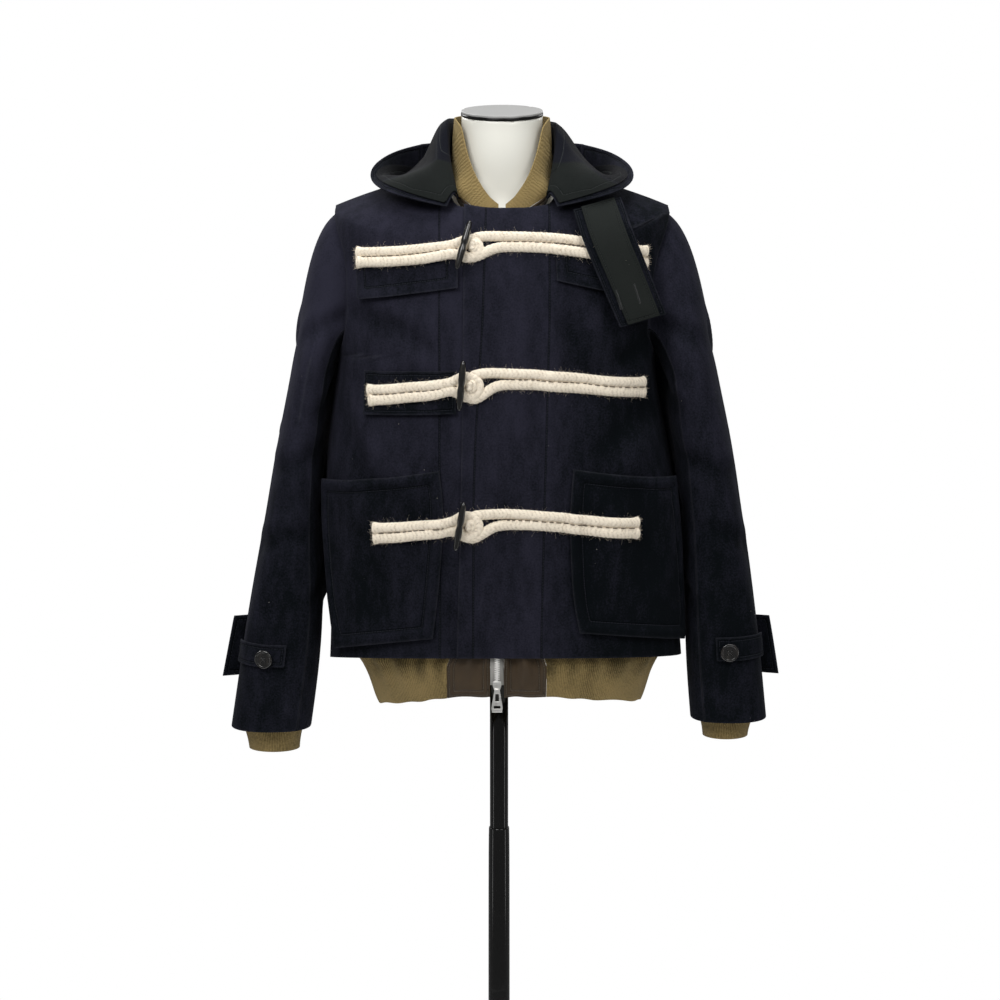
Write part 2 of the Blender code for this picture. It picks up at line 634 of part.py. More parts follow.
def sleeve_skin(name, turn, z):
    """A sleeve's outer face under the armhole; turn 0 is the outside, -90 the front."""
    table, side = SLEEVES[name], SIDE[name]
    cuff = row_at(table, z)
    inner = cuff.inner
    if z > TORSO[0].side_z - 0.03:
        inner = max(inner, side_reach(side, max(z, TORSO[0].side_z)) + 0.0032)
    centre, half = (cuff.outer + inner) / 2, (cuff.outer - inner) / 2
    level = (SLEEVES[name][0].z - z) / (SLEEVES[name][0].z - SLEEVES[name][-1].z)
    crease = fold_depth(SLEEVE_FOLDS, turn, level)
    c, s = math.cos(math.radians(turn)), math.sin(math.radians(turn))
    out = Vector((c, s, 0))
    point = Vector((centre + half * power(c, 0.88), cuff.mid_y + cuff.depth * power(s, 0.88), z))
    point += out * crease
    return Vector((side * point.x, point.y, point.z))


def sleeve_at(name, turn, z, out=0.0):
    """A point of the sleeve, moved out along its normal."""
    across = sleeve_skin(name, turn + 1.0, z) - sleeve_skin(name, turn - 1.0, z)
    up = sleeve_skin(name, turn, z + 0.002) - sleeve_skin(name, turn, z - 0.002)
    return sleeve_skin(name, turn, z) + across.cross(up).normalized() * (out * SIDE[name])


TUCK = 0.0025             # how far the sleeve reaches under the body's edge
TUCK_DEPTH = WOOL + 0.0017
SLEEVE_HEAD = (0.13, 0.32, 0.54, 0.78)
SLEEVE_LENGTHS = (0, 0.12, 0.25, 0.38, 0.51, 0.65, 0.80, 0.995, 1.0)


def sleeve_column(name, turn):
    """One line down a sleeve: tucked under the body's edge, out of the hole, and down."""
    side = SIDE[name]
    seam, facing, into = armhole_at(name, turn)
    tucked = seam - into * TUCK - facing * TUCK_DEPTH
    reach_in = 0.0034 + 0.0008 * (1 - math.cos(math.radians(turn)))
    edge = seam + into * reach_in - facing * (TUCK_DEPTH + 0.0006)
    top, bottom = SLEEVES[name][0].z, SLEEVES[name][-1].z
    target = sleeve_skin(name, turn, top)
    reach = (target - edge).length
    fall = 0.18 * (1 + math.cos(math.radians(turn)))
    outwards = Vector((side * 0.93, 0.0, -fall)) * (reach * 0.62)
    downwards = Vector((side * 0.20, 0.0, -0.98)) * (reach * 0.80)
    column = [tucked, edge]
    for t in SLEEVE_HEAD:
        h00, h10 = 2 * t**3 - 3 * t**2 + 1, t**3 - 2 * t**2 + t
        h01, h11 = 3 * t**2 - 2 * t**3, t**3 - t**2
        column.append(edge * h00 + outwards * h10 + target * h01 + downwards * h11)
    return column + [sleeve_skin(name, turn, top + (bottom - top) * share) for share in SLEEVE_LENGTHS]


def make_sleeves(group, wool):
    """Upper and under sleeve on each side."""
    seam, strip = 0.35, 1.6             # degrees of turn beside the sleeve's two seams
    upper = [-SLEEVE_SEAM + seam, -SLEEVE_SEAM + strip, -106, -82, -58, -35, -12]
    upper += [-turn for turn in upper[::-1]]
    under = [SLEEVE_SEAM + seam, SLEEVE_SEAM + strip, 148, 168]
    under += [-turn for turn in under[::-1]]
    for name, side in SIDE.items():
        for part, turns in (("upper", upper), ("under", under)):
            rows = list(zip(*[sleeve_column(name, turn) for turn in turns]))
            sheet(f"sleeve_{part}_{name}", rows, WOOL, group, wool, flip=side > 0)


# ---------------------------------------------------------------------------------- hood


def neck_ring_at(direction):
    """The coat's neck seam in a direction from the neck's axis."""
    low, high = 0.0, 180.0
    level = TORSO[-1]
    slope = math.atan2(direction.y, direction.x)
    sense = 1.0 if direction.y > 0 else -1.0
    for _ in range(24):
        angle = (low + high) / 2
        point = section(level, sense * angle)
        if abs(math.atan2(point.y, point.x)) < abs(slope):
            low = angle
        else:
            high = angle
    return section(level, sense * angle)


def hood_section(turn, share):
    """A point of the hood: share 0 is the neck seam and 1 the rim of the opening."""
    row = row_at(HOOD, turn if turn >= 90 else 180 - turn)
    direction = Vector((math.cos(math.radians(turn)), math.sin(math.radians(turn)), 0))
    knots = [neck_ring_at(direction) + Vector((0, 0, 0.0012))]
    for r, z in ((row.crest_r, row.crest_z), (row.mid_r, row.mid_z), (row.low_r, row.low_z),
                 (row.bag_r, row.bag_z), (row.rim_r, row.rim_z)):
        knots.append(direction * r + Vector((0, 0, z)))
    return curve_through(knots, share)


def offset_rows(rows, out):
    """Rows of points moved along the normals of their own grid."""
    moved = []
    for i, row in enumerate(rows):
        line = []
        for j, point in enumerate(row):
            total = Vector()
            for low in (i - 1, i):
                for left in (j - 1, j):
                    if 0 <= low < len(rows) - 1 and 0 <= left < len(row) - 1:
                        a, b = rows[low][left], rows[low][left + 1]
                        c, d = rows[low + 1][left + 1], rows[low + 1][left]
                        total += (c - a).cross(d - b).normalized()
            line.append(point + total.normalized() * out)
        moved.append(line)
    return moved


HOOD_SHARES = (0.0, 0.012, 0.12, 0.19, 0.25, 0.34, 0.47, 0.60, 0.72, 0.84, 0.945, 0.988, 1.0)
LINING_CLEAR = 0.0013
HOOD_SEAM = 0.25          # half of the gap between two hood panels, in degrees
HOOD_WALL = 0.0020


def hood_turns(start, end, count):
    """Even turns between two ends, with a narrow strip at both."""
    strip = 0.9
    span = end - start - 2 * strip
    return [start] + [start + strip + span * i / count for i in range(count + 1)] + [end]


def between_rows(low, high, share):
    """A row of points at a share of the way between two rows."""
    return [a.lerp(b, share) for a, b in zip(low, high)]


def make_hood(group, wool, twill):
    """Three wool panels that lie folded back, and the twill lining inside them."""
    front_end = HOOD[0].turn
    low_seam, high_seam = 90 - HOOD_STRIP, 90 + HOOD_STRIP
    panels = {
        "hood_left": hood_turns(180 - front_end, low_seam - HOOD_SEAM, 7),
        "hood_middle": hood_turns(low_seam + HOOD_SEAM, high_seam - HOOD_SEAM, 5),
        "hood_right": hood_turns(high_seam + HOOD_SEAM, front_end, 7),
    }
    for name, turns in panels.items():
        rows = [[hood_section(turn, share) for turn in turns] for share in HOOD_SHARES]
        sheet(name, rows, HOOD_WALL, group, wool, split=True)
    turns = [turn for panel in panels.values() for turn in panel[1:-1]]
    skin = [[hood_section(turn, share) for turn in turns] for share in HOOD_SHARES[1:-1]]
    faces = offset_rows(skin, -HOOD_WALL - LINING_CLEAR)
    rows = [between_rows(faces[0], faces[1], t) for t in (0.30, 0.38)]
    rows += faces[1:-1]
    sheet("hood_lining", rows, TWILL, group, twill, split=True)


# -------------------------------------------------------------------------- patches on it


def patch_grid(table, drop, columns, lift, outward):
    """Rows of points for a patch on the front, from its inner to its outer edge.

    drop is how far the bottom and the top edge fall from the inner to the outer side.
    """
    rows = []
    low, high = table[0].z, table[-1].z
    count = max(2, round((high - low) / 0.030))
    edge = EDGE / (high - low)
    for t in shares(count, edge):
        edges = row_at(table, low + (high - low) * t)
        row = []
        for s in shares(columns, EDGE / abs(edges.x_out - edges.x_in)):
            fall = (drop[0] * (1 - t) + drop[1] * t) * s
            x = edges.x_in + (edges.x_out - edges.x_in) * s
            row.append(front_at(x, low + (high - low) * t - fall, lift + outward * s ** 3))
        rows.append(row)
    return rows


def make_patches(group, wool):
    """Patch pockets, chest flaps and the patch behind the middle rope."""
    for name, table in POCKETS.items():
        rows = patch_grid(table, POCKET_DROP[name], 7, LAYER + POCKET_LIFT, POCKET_STAND_OFF)
        sheet("pocket_" + name, rows, WOOL, group, wool, flip=name == "right")
    for name, table in CHEST_FLAPS.items():
        rows = patch_grid(table, FLAP_DROP[name], 5, LAYER + FLAP_LIFT, FLAP_STAND_OFF)
        sheet("chest_flap_" + name, rows, WOOL, group, wool, flip=name == "right")
    rows = patch_grid(MIDDLE_PATCH, (0.005, 0.004), 5, LAYER, 0.0)
    sheet("middle_patch", rows, WOOL, group, wool, flip=True)


def tab_point(x, z, lift):
    """A point over the front; past the chest's curve it keeps straight on to the side."""
    if x <= TAB_BEND_X:
        return front_at(x, z, lift)
    last = front_at(TAB_BEND_X, z, lift)
    return last + Vector((x - TAB_BEND_X, (x - TAB_BEND_X) * TAB_BEND_SLOPE, 0))


def make_throat_tab(group, wool, twill):
    """The strap that hangs from under the hood, with its facing to the front."""
    def tab_rows(start, end, first, last, lift):
        rows = []
        for t in shares(6, 0.012):
            t = first + (last - first) * t
            top_x, top_z = (TAB_TOP[0][i] + (TAB_LOW[0][i] - TAB_TOP[0][i]) * t for i in (0, 1))
            far_x, far_z = (TAB_TOP[1][i] + (TAB_LOW[1][i] - TAB_TOP[1][i]) * t for i in (0, 1))
            row = []
            for s in shares(3, 0.03):
                s = start + (end - start) * s
                row.append(tab_point(top_x + (far_x - top_x) * s, top_z + (far_z - top_z) * s, lift))
            rows.append(row)
        return rows

    sheet("throat_tab", tab_rows(0, 1, 0.08, 1, TAB_LIFT), WOOL, group, wool, flip=True)
    facing = tab_rows(TAB_BORDER, 1 - TAB_BORDER, 0.08, 0.992, TAB_LIFT + CLEAR + TWILL)
    sheet("throat_tab_facing", facing, TWILL, group, twill, flip=True)


# ---------------------------------------------------------------------- ropes and toggles


def rope_path(strand):
    """The way of a doubled rope: out to in on the upper strand, round, and back."""
    half = ROPE_PITCH / 2
    inward = 1 if strand.in_x > strand.out_x else -1

    def middle(t):
        x = strand.out_x + (strand.in_x - strand.out_x) * t
        sag = 0.004 * math.sin(math.pi * t)
        return x, strand.out_z + (strand.in_z - strand.out_z) * smooth_step(t) - sag

    count = max(5, round(abs(strand.out_x - strand.in_x) / 0.024))
    upper, lower = [], []
    for i in range(count + 1):
        t = i / count
        x, z = middle(t)
        near = max(0.0, 1 - abs(x - strand.in_x) / 0.040)
        apart = half + strand.spread * math.sin(math.pi * near)
        upper.append((x, z + apart))
        lower.append((x, z - apart))
    x, z = middle(1.0)
    turn = [(x + inward * half * math.sin(a), z + half * math.cos(a))
            for a in (math.radians(45), math.radians(90), math.radians(135))]
    return upper + turn + lower[::-1]


def make_ropes(group, jute):
    """Six doubled ropes, sewn down on both sides of the closures."""
    sides = 6
    for name, strand in ROPES.items():
        path, faces = [], []
        for x, z in rope_path(strand):
            outer = smooth_step(abs(x - strand.in_x) / LOOP_LENGTH)
            lift = ROPE_ON_PATCH + (strand.lift - ROPE_ON_PATCH) * outer
            lift += ROPE_END_RISE * min(abs((x - strand.in_x) / (strand.out_x - strand.in_x)), 1.0) ** 3
            path.append(front_at(x, z, lift))
            faces.append((front_at(x, z, lift + 0.001) - path[-1]).normalized())
        rings = []
        for i, (point, facing) in enumerate(zip(path, faces)):
            ahead = (path[min(i + 1, len(path) - 1)] - path[max(i - 1, 0)]).normalized()
            wide = facing.cross(ahead).normalized() * (ROPE_WIDE / 2)
            high = facing * (ROPE_HIGH / 2)
            angles = [2 * math.pi * k / sides for k in range(sides)]
            rings.append([point + wide * math.cos(a) + high * math.sin(a) for a in angles])
        closed_loft(name, rings, group, jute, GARMENT_X)


def make_toggles(group, horn):
    """Three slim tapered rods that lie across the ends of the ropes."""
    for name, toggle in TOGGLES.items():
        top = front_at(toggle.top_x, toggle.top_z, TOGGLE_LIFT)
        low = front_at(toggle.low_x, toggle.low_z, TOGGLE_LIFT)
        length = (top - low).length
        profile = [(0.0, length / 2)]
        for i in range(9):
            along = i / 8
            bulge = math.sin(math.pi * along) ** 0.7
            radius = TOGGLE_END_R + (TOGGLE_R - TOGGLE_END_R) * bulge
            profile.append((radius, length * (0.5 - along)))
        profile.append((0.0, -length / 2))
        axis = (top - low).normalized()
        turn = axis.to_track_quat("Z", "Y").to_matrix().to_4x4()
        middle = front_at((toggle.top_x + toggle.low_x) / 2, (toggle.top_z + toggle.low_z) / 2, TOGGLE_LIFT)
        place = Matrix.Translation(middle + Vector((GARMENT_X, 0, 0))) @ turn
        turned(name, profile, 10, group, horn, place)


# --------------------------------------------------------------------------- cuff details


def make_cuff_details(group, wool, horn):
    """On each sleeve a button patch with its button, and a strap that stands out."""
    for name, side in SIDE.items():
        low, high = CUFF_PATCH[name]
        rows = []
        for t in shares(2, 0.06):
            z = low + (high - low) * t
            rows.append([sleeve_at(name, turn, z, LAYER)
                         for turn in CUFF_PATCH_TURNS[name]])
        sheet("cuff_patch_" + name, rows, WOOL, group, wool, flip=side > 0)
        low, high = CUFF_STRAP[name]
        rows = []
        for t in shares(4, 0.02):
            z = low + (high - low) * t
            root = [sleeve_at(name, turn, z, LAYER) for turn in (78, 76, 58, 40, 24)]
            heading = Vector((side * 0.93, -0.36, 0)).normalized()
            tip = root[-1] + heading * 0.010
            end = tip + heading * (0.014 - 0.004 * t)
            rows.append(root + [tip, end - heading * 0.002, end])
        sheet("cuff_strap_" + name, rows, WOOL, group, wool, flip=side > 0)
        z = sum(CUFF_PATCH[name]) / 2 - 0.004
        turn = BUTTON_TURN[name]
        seat = sleeve_at(name, turn, z, LAYER + BUTTON_REST)
        facing = (sleeve_at(name, turn, z, 0.01) - sleeve_at(name, turn, z, 0.0)).normalized()
        rim = BUTTON_R
        profile = [(0.0, BUTTON_H * 0.62), (rim * 0.55, BUTTON_H * 0.62), (rim * 0.72, BUTTON_H),
                   (rim * 0.92, BUTTON_H * 0.85), (rim, BUTTON_H * 0.45), (rim * 0.8, 0.0), (0.0, 0.0)]
        place = Matrix.Translation(seat + Vector((GARMENT_X, 0, 0)))
        place = place @ facing.to_track_quat("Z", "Y").to_matrix().to_4x4()
        turned("button_" + name, profile, 14, group, horn, place)


# ------------------------------------------------------------------- knit and nylon layer


def ring_point(ring, turn):
    """A point of a plain oval ring, turning from the front centre; positive is +X."""
    s, c = math.sin(math.radians(turn)), math.cos(math.radians(turn))
    return Vector((ring.half * s, -ring.front * c if c > 0 else -ring.back * c, ring.z))


def collar_point(turn, z, out=0.0):
    """The collar's outer face at a turn and a height."""
    point = ring_point(row_at(COLLAR, z), turn)
    away = Vector((point.x, point.y, 0)).normalized()
    return point + away * out


def make_collar(group, rib, nylon):
    """The ribbed collar and the nylon neck pieces under its front ends."""
    turns = list(COLLAR_TURNS) + [360 - turn for turn in COLLAR_TURNS[-2::-1]]
    rows = []
    for share in (0, 0.05, 0.5, 0.95, 1.0):
        row = []
        for turn in turns:
            edge = row_at(COLLAR_EDGES, turn if turn <= 180 else 360 - turn)
            row.append(collar_point(turn, edge.low + (edge.high - edge.low) * share))
        rows.append(row)
    sheet("rib_collar", rows, RIB, group, rib)
    for name, side in SIDE.items():
        rows = []
        for share in (0, 0.08, 0.92, 1.0):
            row = []
            for turn in NYLON_TURNS:
                high = row_at(COLLAR_EDGES, turn).low - 2 * SEAM
                low = high - 0.026 + 0.016 * (turn / NYLON_TURNS[-1]) ** 2
                row.append(collar_point(side * turn, low + (high - low) * share))
            rows.append(row)
        sheet("nylon_neck_" + name, rows, NYLON, group, nylon, flip=side < 0)


HEM_INSET = 2 * WOOL + 0.0006 + 0.0006
HEM_SHARES = (0.0, 0.04, 0.30, 0.62, 1.0)
HEM_TOP_SHARES = (1.45, 1.93, 2.0)


def hem_point(angle, share):
    """The hem's outer face; shares over 1 lie against the inside of the coat."""
    if share <= 1.0:
        return section(row_at(HEM_RIB, share), angle)
    v = HEM_TUCK_V * (share - 1.0)
    return coat(angle, v + 0.012, -HEM_INSET)


def hem_angle_at_x(share, x):
    """The front's angle where the hem crosses an x."""
    if share > 1.0:
        return angle_at_x(HEM_TUCK_V * (share - 1.0) + 0.012, x)
    level = row_at(HEM_RIB, share)
    part = abs(x - level.shift) / level.half
    from_side = math.degrees(math.acos(min(part, 1.0) ** (level.square / 2)))
    return -from_side if x > level.shift else from_side - 180.0


def make_hem(group, rib, nylon):
    """The ribbed hem round the back and sides, and the nylon panels to the zip."""
    shares_up = HEM_SHARES + HEM_TOP_SHARES
    rows = []
    for share in shares_up:
        start = hem_angle_at_x(share, NYLON_LEFT_X + SEAM / 2)
        end = hem_angle_at_x(share, NYLON_RIGHT_X - SEAM / 2) + 360.0
        spread = end - start
        count = 24
        angles = [start, start + 0.8]
        angles += [start + spread * i / count for i in range(1, count)]
        angles += [end - 0.8, end]
        rows.append([hem_point(a if a <= 180 else a - 360, share) for a in angles])
    sheet("rib_hem", rows, RIB, group, rib)
    panels = {"left": (ZIP_X + ZIP_HALF + SEAM, NYLON_LEFT_X - SEAM / 2),
              "right": (NYLON_RIGHT_X + SEAM / 2, ZIP_X - ZIP_HALF - SEAM)}
    for name, (x0, x1) in panels.items():
        rows = []
        for share in shares_up:
            row = []
            for s in (0, 0.04, 0.5, 0.96, 1):
                row.append(hem_point(hem_angle_at_x(share, x0 + (x1 - x0) * s), share))
            rows.append(row)
        sheet("nylon_hem_" + name, rows, NYLON, group, nylon)


def make_rib_cuffs(group, rib):
    """The knitted cuffs: narrow below, and lying against the sleeve's inside above."""
    for name, side in SIDE.items():
        bottom = SLEEVES[name][-1].z
        drop = 0.031 if name == "right" else 0.026
        half_x = 0.0350 if name == "right" else 0.0312
        rows = []
        for share in (0.0, 0.04, 0.34, 0.66, 0.97, 1.0):
            z = bottom - drop + (drop + 0.034) * share
            row = []
            blend = smooth_step((share - 0.10) / 0.87)
            for i in range(20):
                turn = -180 + 360 * i / 20
                c, s = math.cos(math.radians(turn)), math.sin(math.radians(turn))
                centre = (SLEEVES[name][-1].outer + SLEEVES[name][-1].inner) / 2
                narrow = Vector((side * (centre - 0.004 + half_x * c),
                                 SLEEVES[name][-1].mid_y + 0.034 * s, z))
                wide = sleeve_at(name, turn, max(z, bottom), -(WOOL + 2 * CLEAR))
                wide.z = z
                row.append(narrow.lerp(wide, blend))
            rows.append(row)
        sheet("rib_cuff_" + name, rows, RIB, group, rib, closed=True, flip=side < 0)


# ------------------------------------------------------------------------------------ zip


def make_zip(group, tape, metal):
    """Tape and chain, the slider at its lower end, and the pull tab that hangs from it."""
    rows = []
    for share in HEM_SHARES[2:] + HEM_TOP_SHARES[::2]:
        row = []
        for s, rise in ZIP_PROFILE:
            angle = hem_angle_at_x(share, ZIP_X + ZIP_HALF * s)
            row.append(hem_point(angle, share) + Vector((0, -rise - 0.0002, 0)))
        rows.append(row)
    sheet("zip_chain", rows, ZIP_WALL, group, tape)
    top = hem_point(hem_angle_at_x(SLIDER_SHARE, ZIP_X), SLIDER_SHARE)
    middle = Vector((ZIP_X, top.y - SLIDER_OUT, top.z + SLIDER_UP))
    flat_plate("zip_slider", SLIDER_OUTLINE, middle, SLIDER_THICK, group, metal)
    hinge = Vector((ZIP_X + GARMENT_X, middle.y - HINGE_OUT, top.z - HINGE_DOWN))
    flat_plate("zip_pull", PULL_OUTLINE, hinge, PULL_THICK, group, metal, PULL_HOLES, 0.0)
    return hinge


def flat_plate(name, outline, place, thick, group, finish, holes=(), shift_x=GARMENT_X):
    """A flat outline in X and Z with its holes, given a thickness along Y."""
    flat = bpy.data.curves.new(name, "CURVE")
    flat.dimensions = "2D"
    flat.fill_mode = "BOTH"
    flat.extrude = thick / 2
    for loop in [outline, *holes]:
        spline = flat.splines.new("POLY")
        spline.points.add(len(loop) - 1)
        for point, (x, z) in zip(spline.points, loop):
            point.co = (x, z, 0.0, 1.0)
        spline.use_cyclic_u = True
    source = bpy.data.objects.new(name + "_outline", flat)
    bpy.context.scene.collection.objects.link(source)
    depsgraph = bpy.context.evaluated_depsgraph_get()
    mesh = bpy.data.meshes.new_from_object(source.evaluated_get(depsgraph))
    bpy.data.objects.remove(source, do_unlink=True)
    shape = bmesh.new()
    shape.from_mesh(mesh)
    bmesh.ops.remove_doubles(shape, verts=shape.verts, dist=0.00001)
    bmesh.ops.rotate(shape, verts=shape.verts, matrix=Matrix.Rotation(math.radians(90), 3, "X"))
    shape.to_mesh(mesh)
    shape.free()
    obj = link(name, mesh, group, finish, 0.0)
    obj.location = place + Vector((shift_x, 0, 0))
    return obj


# ------------------------------------------------------------------- dress form and stand


def neck_top_point(angle, height, half_x, half_y, slope_r):
    """A point of the form's slanted neck top, at a height from FORM_TOP."""
    c, s = math.cos(math.radians(angle)), math.sin(math.radians(angle))
    return Vector((half_x * c, half_y * s, FORM_TOP + height + slope_r * s * CAP_SLOPE))


def make_form(group, shell, band, cap):
    """The limbless form: one smooth solid with its neck, a black band and a cap."""
    angles = [-180 + 360 * i / FORM_SIDES for i in range(FORM_SIDES)]
    rings = [[section(level, a) for a in angles] for level in FORM]
    for row in FORM_SHOULDER:
        ridge = coat(0.0, row.v, -(WOOL + FORM_CLEAR))
        level = Level(row.v, ridge.z, row.front_z, row.back_z, ridge.x, 0.0, row.front, row.back, 2.0)
        rings.append([section(level, a) for a in angles])
    for ring in FORM_NECK:
        rings.append([ring_point(ring, a + 90) for a in angles])
    for height in (-NECK_LIP, 0.0):
        rings.append([neck_top_point(a, height, NECK_X, NECK_Y, NECK_Y) for a in angles])
    closed_loft("form_torso", rings, group, shell, GARMENT_X)
    for name, low, high, radius, finish in NECK_DISCS:
        rings = [[neck_top_point(a, height, radius, radius + 0.001, radius) for a in angles]
                 for height in (low, high)]
        closed_loft(name, rings, group, {"band": band, "cap": cap}[finish], GARMENT_X)


def make_stand(group, black):
    """Upper tube in the hollow lower tube, on a round base."""
    wall = 0.0015
    top, low = FORM_BASE_Z - SEAM, BASE_H + 0.19
    profile = [(TUBE_R, top), (TUBE_R, low), (TUBE_R - wall, low), (TUBE_R - wall, top)]
    turned("stand_upper_tube", profile, 20, group, black)
    profile = [(SLEEVE_TUBE_R, STEP_Z - 0.002), (SLEEVE_TUBE_R, BASE_H + SEAM),
               (SLEEVE_TUBE_BORE, BASE_H + SEAM), (SLEEVE_TUBE_BORE, STEP_Z), (SLEEVE_TUBE_R - 0.001, STEP_Z)]
    turned("stand_lower_tube", profile, 20, group, black)
    profile = [(0.0, BASE_H), (BASE_R - 0.010, BASE_H), (BASE_R, BASE_H * 0.55), (BASE_R, 0.0), (0.0, 0.0)]
    turned("stand_base", profile, 40, group, black)


# ----------------------------------------------------------------------------------- main


def main():
    """Build every piece."""
    clear_scene()
    garment = collection("wool_blouson")
    wool = material("navy_melton", (0.014, 0.015, 0.026), 0.95)
    twill = material("dark_twill", (0.020, 0.026, 0.024), 0.85)
    rib = material("olive_rib", (0.160, 0.125, 0.052), 0.9)
    nylon = material("brown_nylon", (0.085, 0.060, 0.035), 0.55)
    jute = material("natural_rope", (0.78, 0.66, 0.50), 0.95)
    horn = material("dark_horn", (0.012, 0.011, 0.010), 0.25)
    metal = material("zip_metal", (0.62, 0.61, 0.58), 0.3, 1.0)
    tape = material("zip_tape", (0.55, 0.53, 0.50), 0.5, 0.6)
    shell = material("form_shell", (0.80, 0.78, 0.70), 0.45)
    cap = material("cap_grey", (0.42, 0.42, 0.41), 0.4)
    black = material("black_gloss", (0.008, 0.008, 0.008), 0.15)
    make_fronts(garment, wool)
    make_back(garment, wool)
    make_sleeves(garment, wool)
    make_hood(garment, wool, twill)
    make_patches(garment, wool)
    make_throat_tab(garment, wool, twill)
    make_ropes(garment, jute)
    make_toggles(garment, horn)
    make_cuff_details(garment, wool, horn)
    make_collar(garment, rib, nylon)
    make_hem(garment, rib, nylon)
    make_rib_cuffs(garment, rib)
    make_zip(garment, tape, metal)
    make_form(garment, shell, black, cap)
    make_stand(garment, black)


main()
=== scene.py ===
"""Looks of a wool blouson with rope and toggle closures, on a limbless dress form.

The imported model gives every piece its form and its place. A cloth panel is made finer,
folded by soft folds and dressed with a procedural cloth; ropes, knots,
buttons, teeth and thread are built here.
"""

import logging
import math
import random
from dataclasses import dataclass, field
from enum import Enum
from typing import Any, Callable, Sequence

import bmesh
import bpy
import numpy as np
from mathutils import Matrix, Vector, noise
from mathutils.bvhtree import BVHTree
from mathutils.kdtree import KDTree


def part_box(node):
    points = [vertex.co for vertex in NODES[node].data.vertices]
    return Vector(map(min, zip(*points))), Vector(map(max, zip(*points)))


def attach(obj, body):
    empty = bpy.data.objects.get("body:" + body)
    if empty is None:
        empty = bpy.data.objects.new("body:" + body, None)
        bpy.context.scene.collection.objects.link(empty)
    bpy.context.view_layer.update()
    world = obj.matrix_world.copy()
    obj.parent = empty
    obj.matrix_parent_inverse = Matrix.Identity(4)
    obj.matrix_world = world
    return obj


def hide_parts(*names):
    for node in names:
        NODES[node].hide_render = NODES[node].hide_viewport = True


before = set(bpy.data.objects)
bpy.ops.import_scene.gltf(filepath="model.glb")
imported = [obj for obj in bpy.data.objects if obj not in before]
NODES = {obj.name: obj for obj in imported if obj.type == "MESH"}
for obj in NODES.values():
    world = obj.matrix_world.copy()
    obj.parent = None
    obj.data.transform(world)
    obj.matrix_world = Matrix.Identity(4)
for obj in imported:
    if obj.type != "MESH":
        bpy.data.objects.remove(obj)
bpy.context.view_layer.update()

logging.basicConfig(level=logging.INFO, format="%(message)s")
LOG = logging.getLogger("blouson")

Array, Shape = np.ndarray, bmesh.types.BMesh
Mesh, Object = bpy.types.Mesh, bpy.types.Object

GARMENT_X = 0.004             # the garment's middle, to the wearer's left of the stand
MERGE = 1e-5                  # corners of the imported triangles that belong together
RIM_TURN = math.radians(50)   # an edge that turns this much belongs to a panel's rim
RIM_LEAST = 0.075             # a shorter chain of such edges is a stray, not a rim
FAR = 1.0                     # a stitch distance that draws nothing
SHARP = 0.7                   # radians; a hard piece keeps an edge that turns more
SAME = 1e-6                   # corners of a turned shape that belong together
RIDGE = 0.55                  # a fold's ridge, as a share of its trough
VIEW_DISTANCE = 5.0           # the camera, from what it looks at
VIEW_TILT = math.radians(9.0)
VIEW_TARGET = (0.0013, 0.0, 0.973)
VIEW_SCALE = 3703.7           # thousandths of the view's width, to a unit of slope
SIDES = (("left", 1.0), ("right", -1.0))
PLACKET_LIGHT = (0.012, 0.095)      # the middle and the half width of the painted light on the placket
BORDER = 0.016                # from a patch's edge to its stitching
DEEPEST = 0.007               # a fold that moves cloth further than this paints no more shade or light on it
SHADING = 45.0                # tone that a metre of lift gives: painted light on ridges, painted shade in troughs
TOP_LIGHT_FROM = (0.85, 0.40)     # painted top light begins at this height and is full so much higher
HEM_SHADE_BAND = (0.775, 0.020)      # the height of the painted shade under the coat's hem and in the knit's puckers, and its reach
FLARE_REACH = 0.020           # how far up from its lower edge a patch flares
GROOVE = (0.002, 0.35)        # a stitched groove: its half width, and its share of the puff
BESIDE = 0.12                 # radians; corners of the collar's rim this near are compared
COLLAR_RADIUS = 0.058         # turns the collar's angles into runs along its edge
LEAN_HEIGHTS = (0.825, 0.85, 0.90, 0.95, 1.00, 1.05, 1.10, 1.15, 1.175, 1.20, 1.22)


# ---- shader expressions
def operator(operation: str, swapped: bool = False) -> Callable:
    """Args: operation: a Math node's. swapped: whether the other side comes first.
    Returns: a method of Value that adds the node."""

    def method(self: "Value", other: Any) -> "Value":
        """Args: other: a number or a Value. Returns: the node's result."""
        return self.graph.maths(operation, *((other, self) if swapped else (self, other)))

    return method


class Value:
    """A shader socket that Python's operators work on; each adds a Math node."""

    __add__ = __radd__ = operator("ADD")
    __sub__, __rsub__ = operator("SUBTRACT"), operator("SUBTRACT", True)
    __mul__ = __rmul__ = operator("MULTIPLY")
    __truediv__ = operator("DIVIDE")

    def __init__(self, graph: "Graph", socket: Any) -> None:
        """Args: graph: the material's graph. socket: the output that holds the value."""
        self.graph = graph
        self.socket = socket

    def __neg__(self) -> "Value":
        """The value with its sign turned."""
        return self * -1.0

    def fraction(self) -> "Value":
        """The part after the point, for repeats."""
        return self.graph.maths("FRACT", self)

    def sine(self) -> "Value":
        """The sine of a value in radians."""
        return self.graph.maths("SINE", self)

    def wave(self, pitch: float) -> "Value":
        """A run in metres as waves from 0 to 1, one to a pitch."""
        return (self * (math.tau / pitch)).sine() * 0.5 + 0.5

    def step(self, low: float, high: float) -> "Value":
        """A soft step from 0 at low to 1 at high."""
        settings = {"interpolation_type": "SMOOTHSTEP"}
        return self.graph.node("ShaderNodeMapRange", settings,
                               {"Value": self, "From Min": low, "From Max": high})

    def bell(self, width: float) -> "Value":
        """A soft bump around 0: 1 there, near 0 at twice the width."""
        share = self / width
        return self.graph.maths("EXPONENT", -(share * share))


